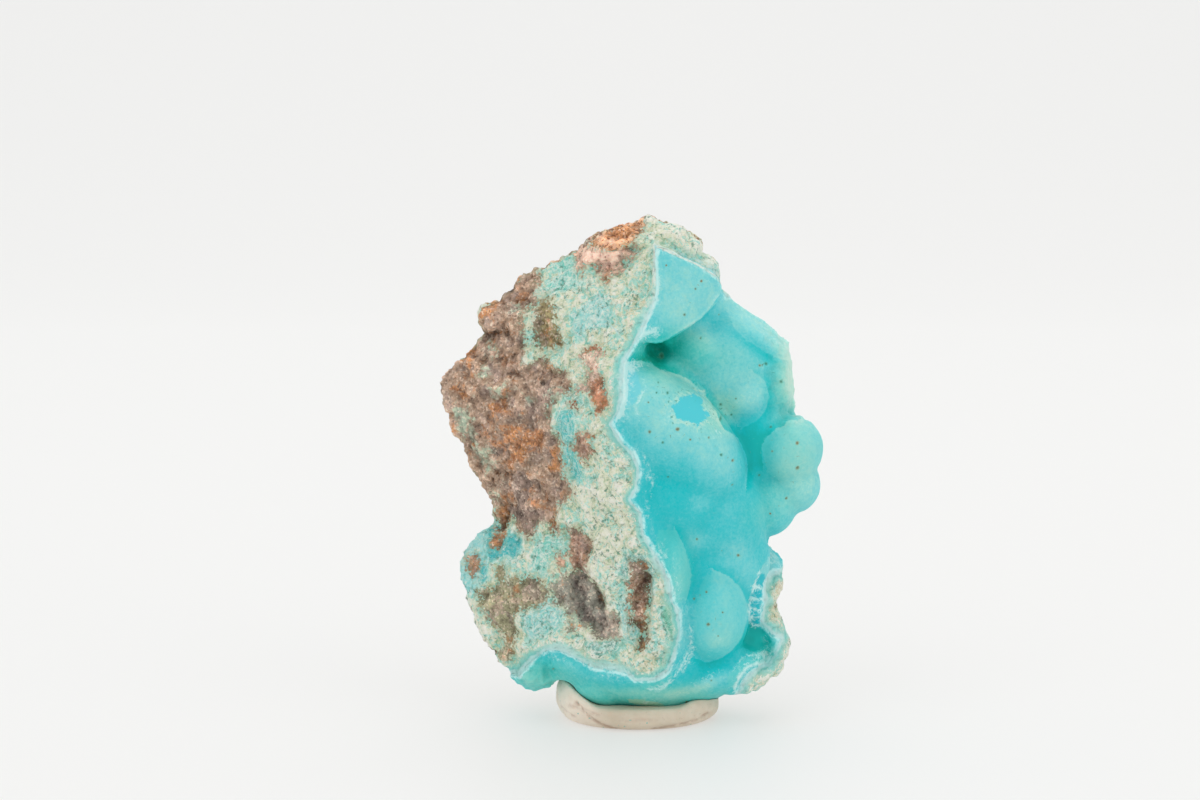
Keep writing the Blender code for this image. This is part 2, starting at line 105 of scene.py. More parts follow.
# The domes of the blue crust: (centre, radii, tilt about the Y axis in degrees)
DOMES = {
    "central": ((5.5, -4.6, 43.7), (12.8, 9.6, 7.7), 44),
    "central_upper": ((0.2, -5, 48.8), (6.9, 8.4, 6.9), 0),
    "central_low": ((5, -4.6, 35.8), (9.6, 8.2, 9), 0),
    "upper_sheet": ((13.6, 3.8, 53.2), (10.6, 7.2, 8.2), 30),
    "upper_left": ((8.8, 1.2, 56.6), (5.2, 5.4, 4.2), 25),
    "upper_middle": ((16.6, 2, 49.8), (4.8, 6, 5), 0),
    "slope": ((17.2, 4.6, 57.8), (7.6, 5.6, 3), 36),
    "saddle": ((17.6, 2, 42.6), (5.6, 6, 8.4), 0),
    "edge_strip": ((20.9, 3.8, 52.2), (2.6, 5.4, 6), -8),
    "right_ball": ((22.7, 1, 41.5), (5.6, 6, 5.2), 0),
    "right_low": ((23.7, 1.8, 35.8), (4.3, 5, 4.4), 0),
    "right_lowest": ((19.3, 0.6, 32.9), (5, 5.6, 5), 0),
    "floor_high": ((10.2, -3.4, 31.6), (9.4, 7.4, 9.6), 0),
    "floor_low": ((10.8, -2.6, 25), (9.2, 7.2, 9.4), 0),
    "middle_a": ((9.2, -5, 34), (3.8, 4.4, 3.8), 0),
    "middle_b": ((14.4, -3, 32.2), (3.6, 4.6, 3.8), 0),
    "middle_c": ((8.9, -4.8, 28.1), (4.2, 4.6, 4.2), 0),
    "middle_d": ((15.3, -2.6, 25.7), (4.8, 5.2, 4.8), 0),
    "middle_e": ((17.2, -1.2, 21.3), (3, 4.6, 3.8), 0),
    "wall": ((3.9, -7.4, 23.4), (4.3, 6.4, 8.5), 6),
    "low_ball": ((11.3, -6, 17.2), (5.5, 6.6, 7.2), 0),
    "recess_floor": ((17.4, -1.4, 12.6), (3.2, 3.6, 3.6), 0),
    "ladder_floor": ((17.9, -2.2, 19.6), (1.9, 4.4, 5.4), 0),
    "underside": ((0.8, -2.4, 10.7), (12.8, 9.2, 8.6), 0),
    "pressed_left": ((-5.6, -4.8, 6.4), (4.8, 3.9, 3.4), 24),
    "underside_left": ((-8.6, -1.6, 9.4), (7.4, 7.6, 4), 24),
    "underside_right": ((11.6, -2.4, 8.2), (8.2, 7.4, 4.2), -18),
    "foot": ((-15.6, -0.6, 8.2), (4.3, 5.6, 3.6), 0),
}

# The fractured block over the cavity: a flat front and a narrower back, as (x, y, z) corners
TOP_BLOCK = [
    (2.4, -5.8, 73.2), (5, -5.6, 72.4), (7.7, -5.2, 70.9), (9.9, -4.8, 69.9), (11.8, -4, 68.6),
    (12.7, -3.2, 66.9), (12, -3.4, 64.4), (9.6, -4.8, 62.1), (7.4, -6.2, 60.8), (5, -7.4, 59.3),
    (2.4, -8.8, 58.4), (0.6, -9.2, 59.2), (1.2, -8.8, 61.6), (2.2, -7.8, 65.2), (3, 4, 72), (9, 4, 69),
    (11.6, 4, 65.6), (9, 3, 63.4), (4, 3, 61.6),
]

# Rounded lumps of rock on the crest and on the left edge: (centre, radii, tilt)
ROCK_LUMPS = {
    "rusty_lump": ((-3, 1.6, 72), (5.4, 5, 3.2), -14),
    "pale_lump": ((4.4, 3.4, 73.2), (5.4, 4.4, 3), 24),
    "left_knob": ((-22.1, 5.6, 61), (2.7, 3.6, 2.8), 0),
    "left_shoulder": ((-25.2, 5.2, 53.6), (2.6, 3.6, 2.2), 0),
}

# The thin curled wall of crust at the lower right: (x, y of its front edge, z)
LIP_PATH = [
    (20.2, -0.6, 23.9), (20.8, -2, 22.8), (21, -3.2, 21.3), (20, -3.8, 19.7), (18.6, -4.4, 17.9),
    (19.1, -5, 16), (20.6, -5.4, 13.7), (21.4, -5.8, 11.2), (20.6, -6.4, 8.6), (18.2, -7, 7),
    (15.9, -7.6, 6.1), (13.4, -7.8, 5.6),
]
LIP_RADII = (1.6, 5.0, 1.6)
LIP_STEP = 0.6

# Hollows cut through the finished form: (centre, radii, tilt)
HOLLOWS = {"cavity_under_block": ((3.2, -5.8, 57), (2.6, 5.2, 1.5), 24)}

# Shallow pockets in the broken face: (centre x and z, half sizes, tilt in degrees, depth)
POCKETS = {
    "long_pocket": ((0.2, 18.7), (1.8, 7.2), 4, 1.3),
    "dark_pocket": ((-7.6, 19.6), (2.6, 6), -24, 1.1),
    "crest_pocket": ((-2.4, 72.6), (2.8, 1.3), 0, 1.2),
}

# The crust's front outline as (x, z): down the rim, along the bottom, and round by the curled wall
CRUST_OUTLINE = [
    (40, 64.4), (13.4, 64.4), (12.6, 66.8), (11.6, 68.4), (7.7, 70.7), (2.4, 73), (2.6, 67.6), (2.4, 65.2),
    (1.2, 62.2), (-0.4, 59.1), (-2.2, 56.4), (-2.5, 54), (-2.4, 51.1), (-3.1, 48.9), (-4.2, 47.3),
    (-2.7, 44.8), (-0.8, 43.1), (0.1, 40.5), (-0.3, 37.6), (-1.2, 36.1), (0.4, 34.1), (0.6, 31.3),
    (1.8, 29), (3.4, 26.4), (4.6, 23.7), (5.1, 20.7), (6, 19), (6.2, 15.6), (5.6, 12.6), (4.6, 9.6),
    (2.5, 8.1), (-0.4, 7.9), (-1.7, 9), (-3.8, 9.5), (-7, 9.6), (-9.4, 10.9), (-11.7, 12.1), (-13.7, 11.8),
    (-15.8, 10.2), (-18.2, 7.1), (-40, 4), (-40, -10), (40, -10),
]
OUTLINE_DEPTH = 40.0

# Where the crust ends on the back, and the cream outer side of the curled wall, as (x, z)
BACK_LIMIT = 6.0
LIP_CREAM = [
    (20.9, 23), (19.9, 22.6), (19.1, 21.4), (18.9, 18.7), (18.7, 15.6), (20.2, 13.9), (21.6, 13),
    (20.8, 11.3), (19.9, 9.4), (17.5, 8.9), (16, 7.5), (14.8, 4.5), (26, 3), (26, 23.4),
]

# Brown rock in the broken face: the mean screen tone and the outline of each patch, as (x, z)
BROWN_PATCHES = {
    "main": ((176, 149, 128), [
        (-15.1, 69.5), (-15.4, 66.3), (-15.6, 63.9), (-17.2, 62.9), (-17.6, 60.9), (-17.1, 54.7),
        (-15.1, 55.3), (-14.2, 55.8), (-13.2, 54.7), (-11.3, 54.4), (-10.1, 52.4), (-10.6, 51.1),
        (-13.3, 49.4), (-13.6, 47.4), (-12.7, 45), (-11.5, 43.7), (-11.7, 38.7), (-10.3, 37.5), (-9.7, 36),
        (-12.3, 33.8), (-12.6, 31.7), (-11.8, 30.4), (-13.1, 29.8), (-14.1, 31), (-15, 30.7), (-16.3, 28),
        (-17.7, 28.6), (-19.5, 30.9), (-21.5, 26), (-22.8, 26.5), (-21.8, 28.6), (-22, 31.6), (-26.4, 33.4),
        (-36, 45.4), (-36, 54.7), (-27.5, 65.7), (-17.8, 72.5),
    ]),
    "olive_top": ((150, 138, 102), [
        (-15.9, 63.4), (-13.6, 64.8), (-12.7, 63.2), (-12.4, 60.3), (-11.9, 58.7), (-13.2, 57.4),
        (-15.4, 57.3), (-16.3, 58.6), (-15.6, 60.6),
    ]),
    "crest_rust": ((224, 174, 138), [
        (-7.7, 73.2), (-7.3, 77.5), (1, 77.8), (0.9, 75.6), (-0.2, 73.6), (-2.4, 72.8), (-4.4, 72),
        (-6.4, 72.4),
    ]),
    "crest_pink": ((236, 198, 178), [
        (-8.8, 73.2), (-6.4, 72.4), (-4.4, 72), (-2.4, 72.8), (-0.2, 73.6), (-0.4, 72), (-1.6, 70.8),
        (-3.4, 69.2), (-5.4, 67.2), (-6.4, 69.4), (-7.6, 69.8), (-8.6, 68.6), (-9.8, 70.8),
    ]),
    "pink_top": ((190, 128, 100), [(-8.6, 57), (-7.4, 57.9), (-5.4, 58.5), (-5.4, 57.8), (-7.2, 56.9)]),
    "pink": ((232, 200, 182), [
        (-8.4, 56.8), (-7.2, 56.9), (-5.6, 57.4), (-6.5, 56.4), (-5.8, 55.1), (-6.2, 53), (-7.7, 51.5),
        (-9.5, 51.3), (-9.5, 52.1), (-7.4, 52.6), (-7.1, 54.2), (-8.2, 55.4),
    ]),
    "pink_low": ((205, 148, 118), [
        (-7.2, 53.6), (-5.7, 53.6), (-4.8, 51.3), (-5.4, 49.7), (-6.2, 48.7), (-7, 50.2), (-7.9, 51.6),
    ]),
    "round": ((188, 152, 132), [
        (-9.1, 45.3), (-7.9, 46), (-6.8, 45.2), (-6.7, 43.4), (-7.7, 41.2), (-8.5, 41.7), (-9.6, 43.2),
    ]),
    "dark_top": ((176, 140, 120), [
        (-10.6, 30.6), (-9, 30.3), (-7, 28.2), (-8.1, 26.5), (-8.5, 25), (-7.9, 24), (-10.5, 24.3),
        (-10.5, 27.4), (-11.1, 29),
    ]),
    "dark": ((152, 150, 138), [
        (-8.3, 24.6), (-7.3, 23.3), (-5.2, 20.4), (-5.2, 18.5), (-3.2, 17.6), (-2.6, 15.2), (-3.5, 13.9),
        (-5.8, 13.8), (-7, 15.8), (-9, 15.7), (-10.5, 15.4), (-10.9, 18.5), (-12.6, 19), (-13.1, 20.3),
        (-12.5, 22.5), (-10.5, 24.3),
    ]),
    "long": ((158, 126, 106), [
        (-1.3, 26.2), (-0.1, 26.7), (0.9, 25.2), (1.2, 23.4), (0.9, 21.7), (1.4, 19.7), (1.2, 17.4),
        (0.8, 15.3), (0.9, 13.3), (-0.1, 12.5), (0, 15.1), (-1.3, 17.4), (-1.3, 20), (-1.8, 23), (-1, 24.3),
    ]),
    "olive_low": ((160, 156, 126), [
        (-20, 21.4), (-16.6, 22.5), (-15.1, 22.4), (-14, 21), (-14, 19.3), (-15.1, 18.4), (-18.2, 17.4),
        (-19.2, 16), (-18.5, 13.6), (-19.3, 12), (-19.4, 9.8), (-21, 8.8), (-21.3, 10.6), (-20.8, 12.6),
        (-23.1, 15.4), (-23.9, 17.4), (-24.7, 19.3), (-21.7, 20.7), (-21.6, 22.8), (-20.8, 23.6),
    ]),
    "small_left": ((176, 138, 112), [
        (-26.2, 24.3), (-25.1, 24.7), (-24.5, 23.8), (-25.5, 21.3), (-26.2, 22.1),
    ]),
    "streak": ((214, 172, 148), [
        (-12.3, 26.4), (-11.7, 26.8), (-11.4, 25.1), (-11.9, 23.5), (-12.3, 24.5),
    ]),
    "dot": ((150, 76, 48), [(-10.1, 49.9), (-9.4, 49.7), (-9.5, 48.9), (-10.1, 48.9)]),
}

# Turquoise and aqua patches in the broken face
TURQUOISE = (60, 204, 206)
DEEP = (46, 192, 196)
AQUA = (124, 220, 206)
SKY = (150, 226, 226)
GREEN = (96, 190, 160)
TEAL = (84, 162, 160)
BACK_BROWN = (156, 136, 116)
BACK_OLIVE = (158, 152, 124)
BLUE_PATCHES = {
    "deep_a": (DEEP, [
        (-24.2, 28.4), (-22.6, 29.8), (-21, 28), (-18.6, 28.7), (-17.4, 27.1), (-18.4, 25.4), (-20.9, 24.9),
        (-22.5, 24.2), (-23.6, 25.4), (-24.4, 26.6),
    ]),
    "sky_left": (SKY, [
        (-24.4, 30.2), (-22.1, 29.7), (-22.3, 27), (-22.8, 25), (-24.4, 23.2), (-24.5, 20.6), (-25.6, 18.7),
        (-29, 19), (-29, 27),
    ]),
    "deep_b": (DEEP, [(-24.2, 24.2), (-23.4, 24), (-23.3, 22.1), (-23.9, 20.5), (-24.7, 21.5)]),
    "aqua_mid": (AQUA, [
        (-15.4, 28.1), (-10.6, 28.9), (-11.1, 26.2), (-12.5, 26.7), (-13.7, 25.3), (-14.6, 23.4),
        (-15.8, 23.5),
    ]),
    "aqua_low": (SKY, [
        (-14.9, 18.4), (-13.2, 19.5), (-11.6, 17.5), (-11.4, 16.3), (-12.5, 15), (-13.7, 15.1),
        (-14.9, 13.7), (-16.8, 13.2), (-17.5, 15.6), (-16.9, 17.1),
    ]),
    "teal_dark": (TEAL, [(-7.3, 13.6), (-5.8, 13.3), (-3.1, 14.1), (-3.4, 12.7), (-5.5, 12), (-7, 12.2)]),
    "teal_long": (TEAL, [
        (-1.9, 27.7), (0.6, 27.6), (1.8, 25.5), (2.3, 22), (1.1, 21.4), (0.3, 25.6), (-1.5, 25.7),
        (-2.1, 23.2), (-2.7, 24.4),
    ]),
    "aqua_long": (SKY, [
        (-2.8, 21.6), (-1.6, 21.2), (-1.2, 17.9), (-0.3, 15.5), (-1, 13.8), (-2.5, 16.2), (-3.1, 18.9),
    ]),
    "aqua_top": (AQUA, [(-13.1, 71.2), (-11, 72), (-9.4, 71.2), (-9.5, 69.5), (-11.8, 69.1), (-13, 69.5)]),
    "green_top": (AQUA, [
        (-14.2, 66.4), (-12.4, 67.9), (-10, 68.3), (-9.5, 67.3), (-11.8, 66.3), (-13.7, 65.5),
    ]),
    "green_rim": (GREEN, [
        (4.2, 21.6), (4.9, 20.4), (5.5, 17.4), (5.4, 14), (4.6, 11.4), (3.2, 9.8), (3.4, 11.6), (4.3, 13.4),
        (4.3, 16), (3.7, 18.4),
    ]),
    "green_spot": (AQUA, [(2.2, 15.6), (3, 14.8), (2.8, 13), (1.8, 12.4), (1.4, 13.8)]),
    "agate": (SKY, [
        (-10.1, 62.5), (-7.9, 64.7), (-5.8, 66), (-4, 62.9), (-4.9, 61), (-7.3, 61.1), (-8.8, 59.2),
        (-10, 60.4),
    ]),
    "blue_arm": (TEAL, [(-10.9, 51.5), (-9.4, 51.2), (-8.5, 50.2), (-9.1, 49.9), (-10.3, 50.2)]),
    "strip": (TURQUOISE, [
        (-11.7, 48.1), (-9.8, 48.6), (-9.4, 45.6), (-9.7, 41.8), (-8.2, 40.2), (-8.8, 37.5), (-10.3, 38.2),
        (-11.4, 40.6), (-11.2, 43.9), (-12.3, 45.7),
    ]),
}

# The patch of the central dome whose pale outer film has flaked off
CHIP = [
    (4.6, 49.7), (5.6, 50.6), (7.4, 51.2), (9.6, 50.6), (9.3, 49.4), (10.5, 48.5), (10.8, 47.8),
    (9.8, 47.8), (8.5, 47), (6.7, 47.6), (5.6, 48.2),
]

# Edges that bound a patch of the crust and are drawn as lines too
WALL_EDGE = [(5.6, 31.1), (6.7, 28.9), (7.5, 26.6), (7.9, 24.2), (7.7, 22.1)]
BALL_EDGE = [
    (11.4, 24.7), (13.5, 23.7), (15.2, 21.9), (16.3, 19.6), (16.6, 17.9), (16.1, 15.8), (15.2, 13.6),
    (13.8, 12),
]
LADDER_EDGE = [(18.2, 23.6), (17.6, 21.6), (16.9, 19.7), (16.8, 18), (16.8, 16.7), (17.4, 15)]

# Places on the crust with a tone of their own: (screen tone, outline), and how far each covers
CRUST_PATCHES = {
    "blue_glass": ((110, 208, 218), [
        (-1.7, 55.1), (-0.7, 55), (0, 53.9), (0.3, 52.4), (-0.4, 50.8), (-1.7, 49.9), (-2.1, 52.4),
    ]),
    "ladder": ((26, 184, 196), [
        (19.6, 24.6), *LADDER_EDGE, (18.8, 15.1), (18.7, 15.8), (18.6, 17.3), (18.5, 18.8), (19, 19.9),
        (19.2, 21), (19.6, 22.4),
    ]),
    "recess": ((0, 176, 170), [
        (17, 15.2), (16.6, 13.6), (15.6, 12.2), (17.4, 11.3), (19.2, 11.6), (20.4, 12.6), (18.9, 14.4),
    ]),
    "low_film": ((112, 212, 204), [
        (14.6, 9.5), (15.7, 10.6), (17.1, 11), (19, 10.9), (19.5, 9.8), (19.3, 9.2), (17.8, 9.7),
        (16.4, 9.4), (15.1, 7.9), (14.6, 5.8), (13.6, 6.6), (13.4, 8.2),
    ]),
    "lip_top": ((156, 218, 216), [
        (19.8, 25.6), (18.2, 23.8), (18.8, 22.2), (23, 21.8), (23, 24.4), (20.8, 26.4),
    ]),
    "wall_lobe": ((96, 210, 200), [(3, 31.4), *WALL_EDGE, (7.2, 20.4), (4.6, 20), (3.8, 24), (2, 28.4)]),
    "low_shell": ((106, 210, 206), [
        *BALL_EDGE, (12.1, 10.9), (10.1, 10.5), (8.9, 12), (8.4, 15), (8.2, 18), (8.8, 21), (9.8, 23.4),
    ]),
    "right_shell": ((128, 212, 206), [
        (18.6, 42.7), (19.4, 44), (21, 45.2), (22.9, 46.1), (25.6, 46.4), (29.6, 44), (29.6, 38),
        (22.4, 37.2), (19.6, 38.6),
    ]),
    "rim_shell": ((110, 214, 206), [
        (5.4, 12.4), (5, 10.1), (5, 8.3), (4, 6.8), (2.8, 6.3), (0.4, 6.6), (0.4, 9), (4.6, 9.6),
    ]),
    "low_crumbs": ((178, 208, 170), [
        (-1.6, 4.5), (0.4, 4.8), (2, 4.3), (3.6, 3.6), (4.6, 3), (1.4, 2.9), (0, 3.4), (-1.4, 3.9),
    ]),
}
PATCH_COVER = {
    "wall_lobe": 0.36, "low_shell": 0.3, "right_shell": 0.28, "rim_shell": 0.4, "low_film": 0.4,
    "lip_top": 0.5, "blue_glass": 0.7, "recess": 0.95, "deep_a": 1, "deep_b": 1, "strip": 0.9,
    "sky_left": 0.95, "green_rim": 0.92, "low_crumbs": 0.55,
}
PLAIN_COVER = 0.8

# Pale lines on the crust, edges of its shells and sheets: (strength, points as (x, z))
LINES = {
    "layer_a": (0.6, [(7.8, 16.1), (8, 14.6), (7.7, 12.8), (6.9, 11.2), (6.2, 9.9), (5.9, 9)]),
    "layer_b": (0.45, [(8.4, 12.6), (7.6, 10.7), (6.7, 9.3)]),
    "rim_out": (0.34, [(5.6, 12.4), (5.2, 10.1), (5, 8.3), (4, 6.8), (2.8, 6.3), (1.7, 6.6)]),
    "ladder_edge": (0.8, LADDER_EDGE),
    "rung_1": (0.9, [(17.5, 21.6), (18.6, 21.2)]),
    "rung_2": (0.9, [(16.9, 19.6), (18.4, 19.5)]),
    "rung_3": (0.75, [(16.9, 18.2), (18.3, 17.9)]),
    "rung_4": (0.85, [(16.7, 16.8), (18.6, 16.5)]),
    "rung_5": (0.8, [(17.4, 15), (18.9, 15.2)]),
    "low_film": (0.5, [(14.6, 9.5), (15.7, 10.8), (17.1, 11), (19, 10.9), (19.5, 9.8), (19.8, 8.9)]),
    "low_film_in": (0.8, [(14.6, 5.8), (15.1, 7.9), (16.4, 9.4), (17.8, 9.7), (19.3, 9.2)]),
    "block_top": (0.8, [
        (2.6, 72.9), (4.5, 72.5), (6.3, 71.6), (8, 70.8), (9.9, 69.8), (11.1, 68.9), (12.3, 67.9),
        (12.6, 66.6),
    ]),
    "block_left": (0.95, [
        (2.7, 72.5), (2.4, 71.3), (2.5, 69), (2.7, 67), (2.3, 65.3), (1.7, 63.3), (0.3, 61.3), (-0.6, 59.8),
    ]),
    "sheet_upright": (0.95, [(-2.2, 56.1), (-2.3, 54.3), (-2.1, 52.4), (-2.2, 50.4), (-3, 48.6)]),
    "sheet_right": (0.5, [(-0.2, 48.4), (-0.4, 50.2), (0.5, 51.8), (1, 52.6), (0.8, 53.2)]),
    "sheet_upper": (0.9, [
        (-5.8, 61.3), (-4.4, 61.4), (-3.4, 60.6), (-2.5, 59.2), (-2.1, 57.9), (-2.2, 56.3),
    ]),
    "sheet_fold": (0.5, [(-0.2, 59.7), (0.7, 60.5), (2.2, 60.6)]),
    "dash_a": (0.42, [(1, 41.9), (1.3, 41.2)]),
    "dash_b": (0.42, [(1.6, 40.6), (1.3, 39.6)]),
    "dash_c": (0.36, [(1.8, 39.3), (2, 38.2)]),
}

# Edges of the crust's shells, with the shell on the left of the way they run: (strength, points as (x, z))
SHELL_EDGES = {
    "wall": (0.5, [*WALL_EDGE, (7.2, 20.6)]),
    "ball": (0.55, [*BALL_EDGE, (12.1, 10.8), (10.1, 10.3), (8.7, 11.1)]),
    "slope": (0.25, [(23, 54.9), (20.4, 55.8), (18.7, 57), (16.5, 58.3), (14.8, 59.8), (13.5, 62.4)]),
    "sub_dome": (0.35, [(17.4, 53.8), (19, 52.4), (19.8, 50.2), (19.4, 48.1), (18.2, 46.6), (16.3, 45.5)]),
    "central": (0.85, [
        (-3.2, 55.5), (-2.4, 56.3), (-0.8, 56.3), (1.1, 56), (2.5, 55.2), (4.5, 54.2), (6.3, 53.5),
        (8, 52.4), (9.8, 50.8), (11.4, 48.6), (12.8, 45.9), (14.4, 44.7), (15.6, 43), (16.3, 41.2),
        (16.6, 39.1), (16.3, 37.2),
    ]),
    "right_ball": (0.55, [(18.8, 40), (18.6, 42.7), (19.4, 44), (21, 45.2), (22.9, 46.1), (24.8, 46.2)]),
    "block": (0.6, [(12, 65.2), (10.8, 63.6), (9.2, 62), (7.3, 61), (5.2, 59.9), (3.5, 58.9), (1.7, 58.9)]),
}
EDGE_REACH = 1.7
LINE_REACH = 0.8

